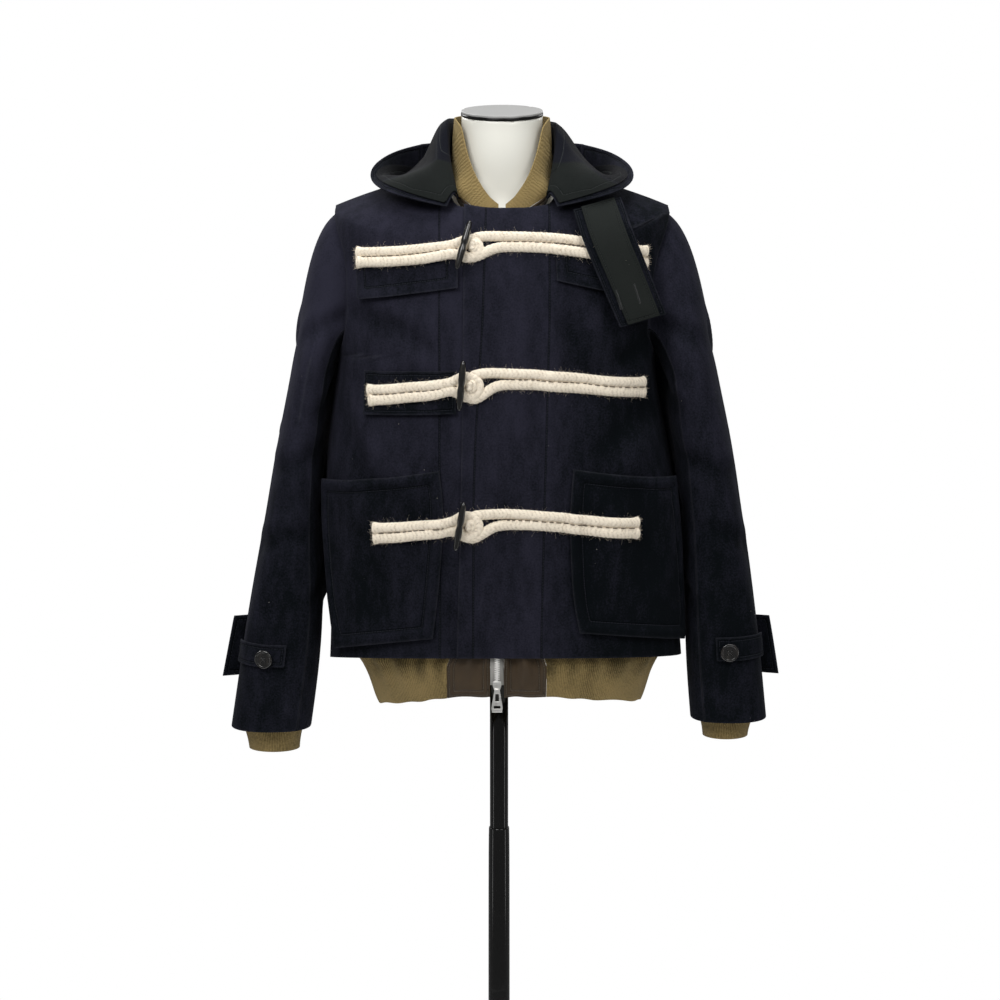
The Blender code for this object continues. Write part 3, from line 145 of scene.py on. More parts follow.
class Graph:
    """One material's node tree, with one Principled shader."""

    def __init__(self, name: str) -> None:
        """Args: name: the material's name."""
        self.material = bpy.data.materials.new(name)
        self.material.use_nodes = True
        self.tree = self.material.node_tree
        self.tree.nodes.clear()
        self.shader = self.tree.nodes.new("ShaderNodeBsdfPrincipled")
        output = self.tree.nodes.new("ShaderNodeOutputMaterial")
        self.tree.links.new(self.shader.outputs[0], output.inputs[0])

    def node(self, kind: str, settings: dict | None = None, sockets: dict | None = None,
             out: int = 0) -> Value:
        """Add a node.

        Args: kind: its type. settings: its attributes, set first.
            sockets: values or Values by input name or number. out: the output wanted.
        Returns: the output as a Value.
        """
        node = self.tree.nodes.new(kind)
        for name, value in (settings or {}).items():
            setattr(node, name, value)
        for name, value in (sockets or {}).items():
            self.feed(node.inputs[name], value)
        return Value(self, node.outputs[out])

    def feed(self, socket: bpy.types.NodeSocket, value: Any) -> None:
        """Link a Value to a socket, or set a constant on it."""
        if isinstance(value, Value):
            self.tree.links.new(value.socket, socket)
        elif hasattr(socket.default_value, "__len__") and len(socket.default_value) == 4:
            socket.default_value = (*value, 1.0)
        else:
            socket.default_value = value

    def maths(self, operation: str, *values: Any) -> Value:
        """A Math node on values or numbers."""
        return self.node("ShaderNodeMath", {"operation": operation}, dict(enumerate(values)))

    def mix(self, share: Any, first: Any, second: Any) -> Value:
        """Blend two colours by a share from 0 to 1."""
        settings = {"data_type": "RGBA", "clamp_factor": True}
        return self.node("ShaderNodeMix", settings, {0: share, 6: first, 7: second}, 2)

    def place(self, scale: tuple = (1.0, 1.0, 1.0)) -> Value:
        """Object coordinates, scaled."""
        coordinates = self.node("ShaderNodeTexCoord", out=3)
        return self.node("ShaderNodeMapping", None, {"Vector": coordinates, "Scale": scale})

    def noise(self, scale: float, detail: float = 2.0, vector: Value | None = None,
              rough: float = 0.5) -> Value:
        """Noise from 0 to 1 on object coordinates or another vector."""
        sockets = {"Vector": vector or self.place(), "Scale": scale, "Detail": detail,
                   "Roughness": rough}
        return self.node("ShaderNodeTexNoise", None, sockets)

    def cells(self, scale: float, out: int) -> Value:
        """A Voronoi texture's distance, 0, or its cells' colours, 1."""
        return self.node("ShaderNodeTexVoronoi", None,
                         {"Vector": self.place(), "Scale": scale}, out)

    def parts(self, vector: Value) -> list[Value]:
        """A vector's three parts as Values."""
        first = self.node("ShaderNodeSeparateXYZ", None, {0: vector})
        return [Value(self, first.socket.node.outputs[i]) for i in range(3)]

    def attribute(self, name: str, out: int = 2) -> Value:
        """A mesh attribute: 2 is its number, 1 its vector."""
        return self.node("ShaderNodeAttribute", {"attribute_name": name}, None, out)

    def bump(self, height: Any, distance: float, strength: float) -> None:
        """Feed a height in units of distance to the shader's normal."""
        normal = self.node("ShaderNodeBump", None,
                           {"Height": height, "Distance": distance, "Strength": strength})
        self.feed(self.shader.inputs["Normal"], normal)

    def surface(self, **sockets: Any) -> None:
        """Set or link the shader's inputs, named with _ for blanks."""
        for name, value in sockets.items():
            self.feed(self.shader.inputs[name.replace("_", " ")], value)


# ---- finishes
class Dressing:
    """One finish; each kind paints its own nodes."""

    def build(self) -> bpy.types.Material:
        """Returns: the material."""
        graph = Graph(self.name)
        self.paint(graph)
        return graph.material


@dataclass(frozen=True)
class Melton(Dressing):
    """Felted wool: fine fuzz, soft mottling, lint, and sewn lines from the panel's rim; painted
    light and shade come with its tone, painted shade in its grooves, and its rim is paler, partly
    wear and partly a painted highlight.
    """

    name: str = "navy melton"
    light: tuple = (0.0200, 0.0198, 0.0315)
    dark: tuple = (0.0026, 0.0038, 0.0050)
    thread: tuple = (0.040, 0.041, 0.055)
    rim_wear_and_highlight: tuple = (0.040, 0.041, 0.050)
    fluff: tuple = (0.26, 0.25, 0.22)
    fuzz: float = 0.0008
    stitch_pitch: float = 0.0036

    def paint(self, graph: Graph) -> None:
        """Args: graph: the material's graph, which this fills."""
        broad = graph.noise(6.0, 3.0)
        felt = graph.noise(420.0, 4.0, rough=0.7)
        nap = graph.noise(75.0, 4.0, graph.place((1.0, 1.0, 0.4)))
        groove, thread = sewing(graph, self.stitch_pitch)
        tone = graph.attribute("tone")
        shade = tone + (broad - 0.5) * 0.7 + (nap - 0.5) * 0.9 + (felt - 0.5) * 1.5
        # Painted shade in the stitched grooves.
        colour = graph.mix(shade - groove * 0.8, self.dark, self.light)
        # The rim is paler: partly wear, partly a painted highlight where the turned edge catches
        # the light.
        rim = graph.attribute("edge").bell(0.0016) * (0.12 + nap * 0.30)
        colour = graph.mix(rim, colour, self.rim_wear_and_highlight)
        colour = graph.mix(thread * 0.5, colour, self.thread)
        specks = lint(graph)
        colour = graph.mix(specks, colour, self.fluff)
        graph.surface(Base_Color=colour, Roughness=0.88 + felt * 0.1, Sheen_Weight=0.02,
                      Sheen_Roughness=0.4, Sheen_Tint=(0.6, 0.62, 0.75),
                      Specular_IOR_Level=0.04)
        height = felt * 0.6 + nap * 0.45 - groove * 1.6 + thread * 0.7 + specks * 0.3
        graph.bump(height, self.fuzz, 1.0)


@dataclass(frozen=True)
class Twill(Dressing):
    """Smooth dark twill: a fine diagonal weave, sewn lines, the hood's navy wool inside with
    painted shade in its bowl, and a paler fold ridge, partly wear and partly a painted highlight.
    """

    name: str = "dark twill"
    light: tuple = (0.0210, 0.0240, 0.0222)
    dark: tuple = (0.0042, 0.0054, 0.0052)
    navy: tuple = (0.0048, 0.0054, 0.0088)
    bowl_shade: tuple = (0.0008, 0.0010, 0.0011)
    ridge_wear_and_highlight: tuple = (0.040, 0.045, 0.045)
    thread: tuple = (0.045, 0.050, 0.048)
    stitch_pitch: float = 0.0034
    wale: float = 0.0011

    def paint(self, graph: Graph) -> None:
        """Args: graph: the material's graph, which this fills."""
        x, y, z = graph.parts(graph.place())
        weave = (x + y * 0.6 + z).wave(self.wale)
        broad = graph.noise(11.0, 3.0)
        fine = graph.noise(500.0, 2.0)
        groove, thread = sewing(graph, self.stitch_pitch)
        tone = graph.attribute("tone")
        shade = tone + (broad - 0.5) * 0.6 + (weave - 0.5) * 0.2
        # Painted shade in the stitched grooves.
        shade = shade + (fine - 0.5) * 0.4 - groove * 0.5
        colour = graph.mix(shade, self.dark, self.light)
        inside, hollow, ridge = graph.parts(graph.attribute("fold", 1))
        colour = graph.mix(inside.step(-1.5, 1.5), colour, self.navy)
        # Painted shade in the hood's bowl and on its back, where the inside lies in shadow.
        colour = graph.mix(hollow * 0.6, colour, self.bowl_shade)
        # The fold's ridge is paler: partly rubbed wear, partly a painted highlight.
        colour = graph.mix(ridge.bell(1.1) * 0.22, colour, self.ridge_wear_and_highlight)
        colour = graph.mix(thread * 0.6, colour, self.thread)
        graph.surface(Base_Color=colour, Roughness=0.78 + fine * 0.15, Sheen_Weight=0.02,
                      Sheen_Roughness=0.4, Specular_IOR_Level=0.07)
        graph.bump(weave * 0.5 + fine * 0.4 - groove * 2.2 + thread * 0.8, 0.0003, 0.8)


@dataclass(frozen=True)
class RibKnit(Dressing):
    """Ribbed knit: rounded wales that follow the piece's own rib attribute, with painted shade
    between wales and loops.
    """

    name: str = "olive rib"
    light: tuple = (0.270, 0.196, 0.080)
    dark: tuple = (0.060, 0.044, 0.016)
    pitch: float = 0.0026
    course: float = 0.0013

    def paint(self, graph: Graph) -> None:
        """Args: graph: the material's graph, which this fills."""
        across, along, _ = graph.parts(graph.attribute("rib", 1))
        wave = across.wave(self.pitch)
        loops = (along * (math.tau / self.course) + wave * 2.2).sine() * 0.5 + 0.5
        fuzz = graph.noise(420.0, 3.0)
        broad = graph.noise(26.0, 4.0)
        tone = graph.attribute("tone")
        # Colour follows the wales and loops: painted shade between them; tone adds the piece's
        # painted light.
        shade = wave * 0.60 + loops * 0.26 + (broad - 0.5) * 1.3 + (fuzz - 0.5) * 1.4 + tone - 0.12
        colour = graph.mix(shade, self.dark, self.light)
        graph.surface(Base_Color=colour, Roughness=0.9, Sheen_Weight=0.08,
                      Sheen_Roughness=0.5, Sheen_Tint=(0.9, 0.85, 0.65),
                      Specular_IOR_Level=0.12)
        graph.bump(wave + loops * 0.22 + fuzz * 0.25, 0.0009, 0.85)


@dataclass(frozen=True)
class Nylon(Dressing):
    """Thin plain nylon: small puckers, a fine grid weave and a soft shine."""

    name: str = "brown nylon"
    light: tuple = (0.076, 0.047, 0.021)
    dark: tuple = (0.022, 0.013, 0.005)
    thread: tuple = (0.20, 0.16, 0.11)
    grid: float = 0.0008

    def paint(self, graph: Graph) -> None:
        """Args: graph: the material's graph, which this fills."""
        pucker = graph.noise(60.0, 3.0, graph.place((1.0, 1.0, 0.45)))
        x, _, z = graph.parts(graph.place())
        weave = (x * (math.tau / self.grid)).sine() * (z * (math.tau / self.grid)).sine()
        groove, thread = sewing(graph, 0.0030)
        # Painted shade in the stitched grooves.
        colour = graph.mix(pucker * 0.9 - groove * 0.5, self.dark, self.light)
        colour = graph.mix(thread * 0.5, colour, self.thread)
        graph.surface(Base_Color=colour, Roughness=0.46 + pucker * 0.16, Sheen_Weight=0.03,
                      Specular_IOR_Level=0.25)
        graph.bump(pucker + weave * 0.06 - groove * 0.8, 0.0024, 0.85)


@dataclass(frozen=True)
class Jute(Dressing):
    """Natural fibre rope: pale yarns, and painted shade in the hollows between the strands."""

    name: str = "natural jute"
    light: tuple = (0.97, 0.87, 0.715)
    dark: tuple = (0.36, 0.27, 0.175)

    def paint(self, graph: Graph) -> None:
        """Args: graph: the material's graph, which this fills."""
        hollow, yarn, _ = graph.parts(graph.attribute("twist", 1))
        yarns = yarn.sine() * 0.5 + 0.5
        fibre = graph.noise(620.0, 4.0, graph.place((0.5, 1.0, 1.0)), 0.7)
        patch = graph.noise(150.0, 3.0)
        # Paler on the raised lobes, darker between them: painted shade in the hollows.
        shade = hollow * 0.42 + yarns * 0.16 + (patch - 0.5) * 0.8 + (fibre - 0.5) * 1.6 + 0.58
        colour = graph.mix(shade, self.dark, self.light)
        graph.surface(Base_Color=colour, Roughness=0.93, Sheen_Weight=0.06,
                      Sheen_Roughness=0.5, Specular_IOR_Level=0.1)
        graph.bump(hollow * 0.4 + yarns * 0.5 + fibre * 1.1, 0.0008, 0.9)


@dataclass(frozen=True)
class Fibre(Dressing):
    """Loose fibres, of one pale colour that varies from place to place."""

    name: str = "loose fibre"
    light: tuple = (0.83, 0.74, 0.61)
    dark: tuple = (0.56, 0.46, 0.34)

    def paint(self, graph: Graph) -> None:
        """Args: graph: the material's graph, which this fills."""
        graph.surface(Base_Color=graph.mix(graph.noise(240.0), self.dark, self.light),
                      Roughness=0.85 + graph.noise(900.0) * 0.1, Specular_IOR_Level=0.2)


@dataclass(frozen=True)
class Horn(Dressing):
    """Polished dark horn: long streaks under a clear gloss, and fine scratches."""

    name: str = "dark horn"
    light: tuple = (0.024, 0.020, 0.017)
    dark: tuple = (0.004, 0.0038, 0.0036)

    def paint(self, graph: Graph) -> None:
        """Args: graph: the material's graph, which this fills."""
        streak = graph.noise(60.0, 4.0, graph.place((4.0, 4.0, 0.5)))
        scratch = graph.noise(1400.0, 2.0, graph.place((1.0, 1.0, 0.12)))
        colour = graph.mix(streak.step(0.50, 0.78), self.dark, self.light)
        graph.surface(Base_Color=colour, Roughness=0.16 + scratch * 0.14,
                      Specular_IOR_Level=0.5, Coat_Weight=0.25, Coat_Roughness=0.10)
        graph.bump(scratch * 0.4 + streak * 0.5, 0.00012, 0.6)


@dataclass(frozen=True)
class Metal(Dressing):
    """Polished plated metal with brushed marks and grey smudges."""

    name: str = "zip metal"
    colour: tuple = (0.86, 0.85, 0.82)
    grime: tuple = (0.34, 0.33, 0.30)
    rough: float = 0.30

    def paint(self, graph: Graph) -> None:
        """Args: graph: the material's graph, which this fills."""
        brushed = graph.noise(1500.0, 3.0, graph.place((1.0, 1.0, 0.08)))
        smudge = graph.noise(120.0, 3.0)
        colour = graph.mix(smudge.step(0.52, 0.80) * 0.5, self.colour, self.grime)
        graph.surface(Base_Color=colour, Metallic=1.0,
                      Roughness=self.rough + smudge * 0.12 + brushed * 0.08)
        graph.bump(brushed, 0.00005, 0.4)


@dataclass(frozen=True)
class Tape(Dressing):
    """Woven zip tape: fine ribs across and a twill sheen."""

    name: str = "zip tape"
    light: tuple = (0.52, 0.51, 0.48)
    dark: tuple = (0.22, 0.21, 0.195)

    def paint(self, graph: Graph) -> None:
        """Args: graph: the material's graph, which this fills."""
        x, _, z = graph.parts(graph.place())
        rows, columns = z.wave(0.0011), x.wave(0.0009)
        fine = graph.noise(700.0, 2.0)
        colour = graph.mix(rows * 0.4 + columns * 0.3 + fine * 0.3, self.dark, self.light)
        graph.surface(Base_Color=colour, Roughness=0.62 + fine * 0.2)
        graph.bump(rows * 0.6 + columns * 0.5, 0.0003, 0.7)


@dataclass(frozen=True)
class Moulded(Dressing):
    """Painted or moulded hard surface: faint waviness, specks and scuffs."""

    name: str
    light: tuple
    dark: tuple
    rough: float
    wave: float = 0.00025
    speck: float = 0.5
    coat: float = 0.0
    shine: float = 0.5

    def paint(self, graph: Graph) -> None:
        """Args: graph: the material's graph, which this fills."""
        broad = graph.noise(9.0, 3.0)
        peel = graph.noise(260.0, 2.0)
        marks = graph.noise(45.0, 5.0, graph.place((1.0, 1.0, 3.0))).step(0.62, 0.75)
        colour = graph.mix(broad * 0.8 + marks * self.speck * 0.4, self.light, self.dark)
        graph.surface(Base_Color=colour, Roughness=self.rough + marks * 0.12 + peel * 0.05,
                      Coat_Weight=self.coat, Coat_Roughness=0.08,
                      Specular_IOR_Level=self.shine)
        graph.bump(peel * 0.3 + broad * 0.8, self.wave, 0.35)


@dataclass(frozen=True)
class Paper(Dressing):
    """Matt studio paper of the floor."""

    name: str = "studio paper"
    colour: tuple = (0.92, 0.92, 0.92)

    def paint(self, graph: Graph) -> None:
        """Args: graph: the material's graph, which this fills."""
        grain = graph.noise(30.0, 3.0)
        graph.surface(Base_Color=graph.mix(grain * 0.25, self.colour, (0.88, 0.88, 0.89)),
                      Roughness=0.9, Emission_Color=(1.0, 1.0, 1.0), Emission_Strength=0.35)


def sewing(graph: Graph, pitch: float) -> tuple[Value, Value]:
    """Sewn lines from a piece's stitch distances.

    Args: graph: the material's graph. pitch: from one stitch to the next.
    Returns: the groove along the lines and the thread in it, each from 0 to 1.
    """
    distances = graph.parts(graph.attribute("stitch", 1))
    runs = graph.parts(graph.attribute("run", 1))
    groove, thread = 0.0, 0.0
    for distance, run in zip(distances, runs):
        dash = (run / pitch).fraction().step(0.22, 0.34)
        groove = distance.bell(0.0011) + groove
        thread = distance.bell(0.00042) * dash + thread
    return groove, thread


def lint(graph: Graph) -> Value:
    """Sparse round specks of lint on cloth, from 0 to 1.

    Args: graph: the material's graph. Returns: the specks.
    """
    distance = graph.cells(62.0, 0)
    chance = graph.parts(graph.cells(62.0, 1))[0]
    return (1.0 - distance.step(0.018, 0.042)) * chance.step(0.80, 0.86)


class Finish(Enum):
    """Every finish, by the record's material slot."""

    MELTON = ("navy_melton", Melton())
    TWILL = ("dark_twill", Twill())
    RIB = ("olive_rib", RibKnit())
    NYLON = ("brown_nylon", Nylon())
    JUTE = ("natural_rope", Jute())
    FIBRE = ("natural_rope", Fibre())
    STITCH = ("natural_rope", Fibre("rope stitching", (0.10, 0.07, 0.045), (0.05, 0.035, 0.022)))
    THREAD = ("dark_twill", Fibre("button thread", (0.120, 0.120, 0.120), (0.050, 0.050, 0.055)))
    HORN = ("dark_horn", Horn())
    METAL = ("zip_metal", Metal())
    TAPE = ("zip_tape", Tape())
    SHELL = ("form_shell", Moulded("form shell", (0.82, 0.81, 0.735), (0.78, 0.77, 0.70), 0.36))
    CAP = ("cap_grey", Moulded("cap grey", (0.30, 0.30, 0.295), (0.27, 0.27, 0.265), 0.50))
    GLOSS = ("black_gloss", Moulded("black gloss", (0.003, 0.003, 0.003), (0.005, 0.005, 0.005),
                                    0.09, 0.00008, 0.3, 0.0, 0.30))

    @property
    def slot(self) -> str:
        """The record's slot."""
        return self.value[0]

    def material(self) -> bpy.types.Material:
        """The finish's one material, built when it is first asked for."""
        finish = self.value[1]
        return bpy.data.materials.get(finish.name) or finish.build()


# ---- folded fields
def smooth(value: Any) -> Any:
    """A smooth step of an array or a number, from 0 at 0 to 1 at 1."""
    value = np.clip(value, 0.0, 1.0)
    return value * value * (3.0 - 2.0 * value)


def bell(value: Any, middle: float, width: float) -> Any:
    """A soft bump around a middle: 1 there, near 0 at twice the width."""
    return np.exp(-(((value - middle) / width) ** 2))


def outwards(x: Array, y: Array) -> Array:
    """Args: x, y: two arrays of parts. Returns: the level unit vectors that they give."""
    size = np.maximum(np.hypot(x, y), 1e-6)
    return np.stack([x / size, y / size, np.zeros(len(x))], axis=1)


@dataclass(frozen=True)
class Fold:
    """One soft fold drawn on a flat view of the cloth, a trough with a ridge beside it.

    It runs from u0, v0 to u1, v1, bows to one side and is soft over its width.
    """

    u0: float
    v0: float
    u1: float
    v1: float
    width: float
    depth: float
    bow: float

    def rise(self, u: Array, v: Array) -> Array:
        """Args: u, v: places across and up. Returns: how far the fold lifts them."""
        length = math.hypot(self.u1 - self.u0, self.v1 - self.v0)
        du, dv = (self.u1 - self.u0) / length, (self.v1 - self.v0) / length
        along = ((u - self.u0) * du + (v - self.v0) * dv) / length
        across = (v - self.v0) * du - (u - self.u0) * dv
        across = across - self.bow * 4.0 * along * (1.0 - along)
        ends = smooth(along / 0.35 + 0.35) * smooth((1.0 - along) / 0.35 + 0.35)
        trough = bell(across, 0.0, self.width)
        beside = bell(across, 1.7 * self.width, self.width)
        return self.depth * ends * (RIDGE * beside - trough)


def folds(*rows: tuple) -> tuple:
    """Args: rows: the numbers of a Fold each, in millimetres. Returns: the Folds."""
    return tuple(Fold(*(number / 1000 for number in row)) for row in rows)


class Field:
    """Where cloth and what lies on it are pushed by the folds; moves says how far."""

    def push(self, points: Array) -> Array:
        """Args: points: an array of places. Returns: the same places, folded."""
        return points + self.moves(points)

    def at(self, place: Sequence[float]) -> Vector:
        """One folded place as a Vector."""
        return Vector(self.push(np.array([tuple(place)]))[0])


@dataclass(frozen=True)
class TorsoField(Field):
    """Folds on the coat's body, drawn in X and Z on its front and its back.

    square squares its corners. A side's folds begin where the cloth faces it by the first
    figure of facing and are full by the second more. They fade out above shoulder, and
    hang lets the rear hem down below hem, each over its second figure.
    """

    half: float = 0.236
    front: float = 0.150
    back: float = 0.136
    square: float = 1.7
    hang: float = 0.175
    facing: tuple = (0.15, 0.45)
    shoulder: tuple = (1.30, 0.06)
    hem: tuple = (0.940, 0.140)
    front_folds: tuple = folds(
        (-205, 1235, -85, 1185, 16, 5.5, 10),
        (-215, 1115, -150, 990, 20, 6.1, -12),
        (-120, 1110, -112, 1175, 18, 3.8, 4),
        (-68, 1250, -72, 1020, 13, 3.8, 4),
        (-72, 935, -64, 815, 14, 3.5, -4),
        (-10, 1290, -16, 1060, 20, 3.5, 6),
        (22, 1080, 12, 850, 22, 4.3, -8),
        (48, 1260, 40, 960, 12, 3.2, 3),
        (90, 1245, 130, 1130, 20, 4.9, -10),
        (215, 1225, 150, 1170, 16, 5.8, 8),
        (205, 1110, 135, 1050, 19, 4.9, -6),
        (170, 1020, 205, 880, 22, 4.9, 8),
        (-190, 960, -165, 835, 24, 4.3, 10),
        (-130, 1330, -90, 1215, 20, 3.2, -8),
        (118, 985, 120, 840, 20, 3.8, -6),
        (-110, 990, -130, 850, 17, 3.5, 4),
    )
    back_folds: tuple = folds(
        (-200, 1240, -60, 1160, 18, 8.5, 14),
        (195, 1235, 75, 1140, 20, 8.8, -12),
        (-210, 1150, -110, 1000, 24, 8.8, -14),
        (205, 1130, 120, 975, 26, 8.5, 16),
        (-50, 1130, -66, 830, 24, 7.7, 10),
        (12, 1060, 4, 800, 20, 6.8, -8),
        (70, 1080, 86, 820, 26, 8.5, 12),
        (-130, 990, -140, 805, 22, 8.1, -8),
        (150, 960, 160, 800, 20, 7.4, 6),
        (-150, 1320, -60, 1270, 18, 5.4, -8),
        (140, 1325, 40, 1262, 17, 5.1, 6),
        (-200, 900, -185, 800, 18, 5.7, 4),
        (205, 1030, 200, 900, 18, 6.1, -4),
        (-20, 1250, -30, 1140, 24, 5.1, 4),
    )

    def outward(self, points: Array) -> Array:
        """Unit vectors away from the coat's middle, in X and Y."""
        u = (points[:, 0] - GARMENT_X) / self.half
        v = np.where(points[:, 1] < 0.0, points[:, 1] / self.front, points[:, 1] / self.back)
        return outwards(np.sign(u) * np.abs(u) ** self.square / self.half,
                        np.sign(v) * np.abs(v) ** self.square / self.front)

    def push(self, points: Array) -> Array:
        """Args: points: an array of places. Returns: the same places, folded."""
        away = self.outward(points)
        x, z = points[:, 0], points[:, 2]
        rise = np.zeros(len(points))
        start, reach = self.facing
        for side, facing in ((self.front_folds, -away[:, 1]), (self.back_folds, away[:, 1])):
            share = smooth((facing - start) / reach)
            for fold in side:
                rise += share * fold.rise(x, z)
        level, reach = self.shoulder
        rise *= 1.0 - smooth((z - level) / reach)
        folded = points + away * rise[:, None]
        behind = np.clip(points[:, 1] + self.front, -0.010, self.front)
        hang = behind * (self.hang + 0.03 * smooth(0.5 - x / 0.3))
        level, reach = self.hem
        folded[:, 2] -= (hang + 0.002) * smooth((level - z) / reach)
        return folded


@dataclass
class SleeveField(Field):
    """Folds round one sleeve, drawn in turn times radius and Z; lean draws its back in.

    The folds fade out above armhole, over its second figure. The lean works around
    hollow, a depth and its reach.
    """

    side: float
    names: tuple
    folds: tuple
    lean: tuple
    radius: float = 0.070
    armhole: tuple = (1.275, 0.06)
    hollow: tuple = (0.036, 0.021)
    centres: list = field(default_factory=list)

    def __post_init__(self) -> None:
        """Find the sleeve's middle at a few heights from its panels."""
        places = np.concatenate([vertices_of(name) for name in self.names])
        for z in np.linspace(places[:, 2].min() + 0.02, 1.30, 14):
            near = places[np.abs(places[:, 2] - z) < 0.032]
            if len(near) > 3:
                self.centres.append((z, *((near.max(0) + near.min(0)) / 2)[:2]))

    def push(self, points: Array) -> Array:
        """Args: points: an array of places. Returns: the same places, folded."""
        table = np.array(self.centres)
        x = points[:, 0] - np.interp(points[:, 2], table[:, 0], table[:, 1])
        y = points[:, 1] - np.interp(points[:, 2], table[:, 0], table[:, 2])
        turn = np.arctan2(x * self.side, -y)
        rise = np.zeros(len(points))
        for fold in self.folds:
            for lap in (-math.tau, 0.0, math.tau):
                rise += fold.rise((turn + lap) * self.radius, points[:, 2])
        level, reach = self.armhole
        rise *= smooth((level - points[:, 2]) / reach)
        folded = points + outwards(x, y) * rise[:, None]
        behind = bell(points[:, 1], *self.hollow) * smooth(-x * self.side / (self.radius / 2))
        inwards = np.interp(points[:, 2], LEAN_HEIGHTS, self.lean) * behind
        folded[:, 0] -= self.side * inwards
        return folded


@dataclass(frozen=True)
class Dent(Field):
    """A soft push in space around a line: a hood's dent, or room for a small piece."""

    start: tuple
    end: tuple
    width: float
    shift: tuple

    def moves(self, points: Array) -> Array:
        """Args: points: an array of places. Returns: how far each one moves."""
        a, b = np.array(self.start), np.array(self.end)
        line = b - a
        along = np.clip((points - a) @ line / (line @ line), 0.0, 1.0)
        reach = np.linalg.norm(points - a - along[:, None] * line, axis=1)
        return bell(reach, 0.0, self.width)[:, None] * np.array(self.shift)


def seen(points: Array) -> tuple[Array, Array]:
    """Where places show in the front view, in thousandths of its width.

    Args: points: an array of places. Returns: how far across and how far down.
    """
    x, y, z = (points - VIEW_TARGET).T
    sine, cosine = math.sin(VIEW_TILT), math.cos(VIEW_TILT)
    scale = VIEW_SCALE / (VIEW_DISTANCE + y * cosine - z * sine)
    return 500.0 + x * scale, 500.0 - (y * sine + z * cosine) * scale


@dataclass(frozen=True)
class Lining:
    """Where the hood's twill facing ends and its navy wool inside begins, in the front view, and
    where the hood's bowl takes painted shade.

    Each line is pairs of across and down; above it lies the wool inside of the hood.
    """

    left: tuple = ((360, 190), (377, 184), (395, 177), (410, 171), (425, 165), (437, 159),
                   (446, 161), (455, 164))
    right: tuple = ((545, 162), (560, 163), (575, 161.5), (583, 163), (587, 165.5), (603, 178),
                    (626, 188), (640, 192))
    left_fold: float = 437.0
    right_fold: tuple = ((540, 120), (556, 128), (562, 135), (575, 153), (587, 165.5), (603, 178),
                         (626, 188), (640, 192))

    def measure(self, points: Array, soft: float = 5.0, dark: float = 1.0) -> tuple:
        """Args: points: an array of places. soft: how wide the bowl's edge is. dark: the
        share of painted shade that the hood's back takes as well.
        Returns: the distance above the facing's end, how far within the bowl, which takes
        painted shade and sinks, and the distance from the fold's ridge."""
        across, down = seen(points)
        wing = across < 500.0
        end = np.where(wing, np.interp(across, *zip(*self.left)),
                       np.interp(across, *zip(*self.right)))
        above = end - down
        beside = np.where(wing, self.left_fold - across,
                          np.interp(across, *zip(*self.right_fold)) - down)
        # The bowl, above the facing and beyond the fold, is where shade is painted.
        bowl = smooth(above / soft + 0.3) * smooth(beside / soft + 0.2)
        ridge = np.where(bowl > 0.02, np.minimum(np.abs(above), np.abs(beside)), 30.0)
        # The back of the hood's inside takes the painted shade too.
        behind = dark * smooth((points[:, 1] - 0.020) / 0.045)
        above = above + 40.0 * behind
        return above, np.maximum(bowl, 0.9 * behind), ridge + 30.0 * behind


@dataclass(frozen=True)
class HoodField(Field):
    """Creases of the hood that lies on the back."""

    dents: tuple = (
        Dent((0.150, -0.020, 1.385), (0.120, 0.100, 1.360), 0.016, (0.0, 0.001, -0.0030)),
        Dent((-0.140, -0.020, 1.385), (-0.112, 0.100, 1.360), 0.015, (0.0, 0.001, -0.0030)),
        Dent((0.080, 0.175, 1.320), (0.040, 0.200, 1.270), 0.014, (0.0, -0.0034, 0.0)),
        Dent((-0.070, 0.180, 1.330), (-0.030, 0.205, 1.275), 0.015, (0.0, -0.0036, 0.0)),
        Dent((0.004, 0.190, 1.400), (0.010, 0.205, 1.300), 0.018, (0.0, -0.0028, 0.0)),
        Dent((0.120, 0.120, 1.330), (0.160, 0.050, 1.345), 0.012, (-0.002, -0.002, 0.0)),
        Dent((-0.110, 0.125, 1.330), (-0.150, 0.055, 1.345), 0.013, (0.002, -0.002, 0.0)),
    )

    def push(self, points: Array) -> Array:
        """Args: points: an array of places. Returns: the same places, folded."""
        folded = points + sum(dent.moves(points) for dent in self.dents)
        _, bowl, _ = Lining().measure(points, 18.0, 0.0)
        front = smooth((0.070 - points[:, 1]) / 0.035)
        across, _ = seen(points)
        sink = np.where(across < 500.0, 0.0115, 0.0065) * smooth((across - 384.0) / 22.0)
        sink = sink * smooth((624.0 - across) / 22.0) * bowl * front
        folded[:, 2] -= sink
        folded[:, 1] += sink * 0.35
        return folded


@dataclass(frozen=True)
class Sag(Field):
    """The knit hem's lower corners, rounded and drawn down unevenly."""

    low: float

    def push(self, points: Array) -> Array:
        """Args: points: an array of places. Returns: the same places, drawn down."""
        moved = points.copy()
        x = points[:, 0] - GARMENT_X
        share = smooth((self.low + 0.060 - points[:, 2]) / 0.055)
        sides = smooth((np.abs(x) - 0.055) / 0.070)
        moved[:, 2] -= share * sides * np.where(x < 0.0, 0.0068, 0.0035)
        tuck = np.sin(np.arctan2(points[:, 0], -points[:, 1]) * 23.0 + np.sin(x * 60.0))
        moved[:, 2] -= share * tuck * 0.0009
        moved[:, 0] += np.sign(x) * smooth((np.abs(x) - 0.100) / 0.060) * share * 0.0050
        under = smooth((points[:, 2] - self.low - 0.065) / 0.020) * 0.0120
        away = outwards(x, points[:, 1])
        moved[:, 0] -= under * away[:, 0]
        moved[:, 1] -= under * np.maximum(away[:, 1], 0.0)
        return moved


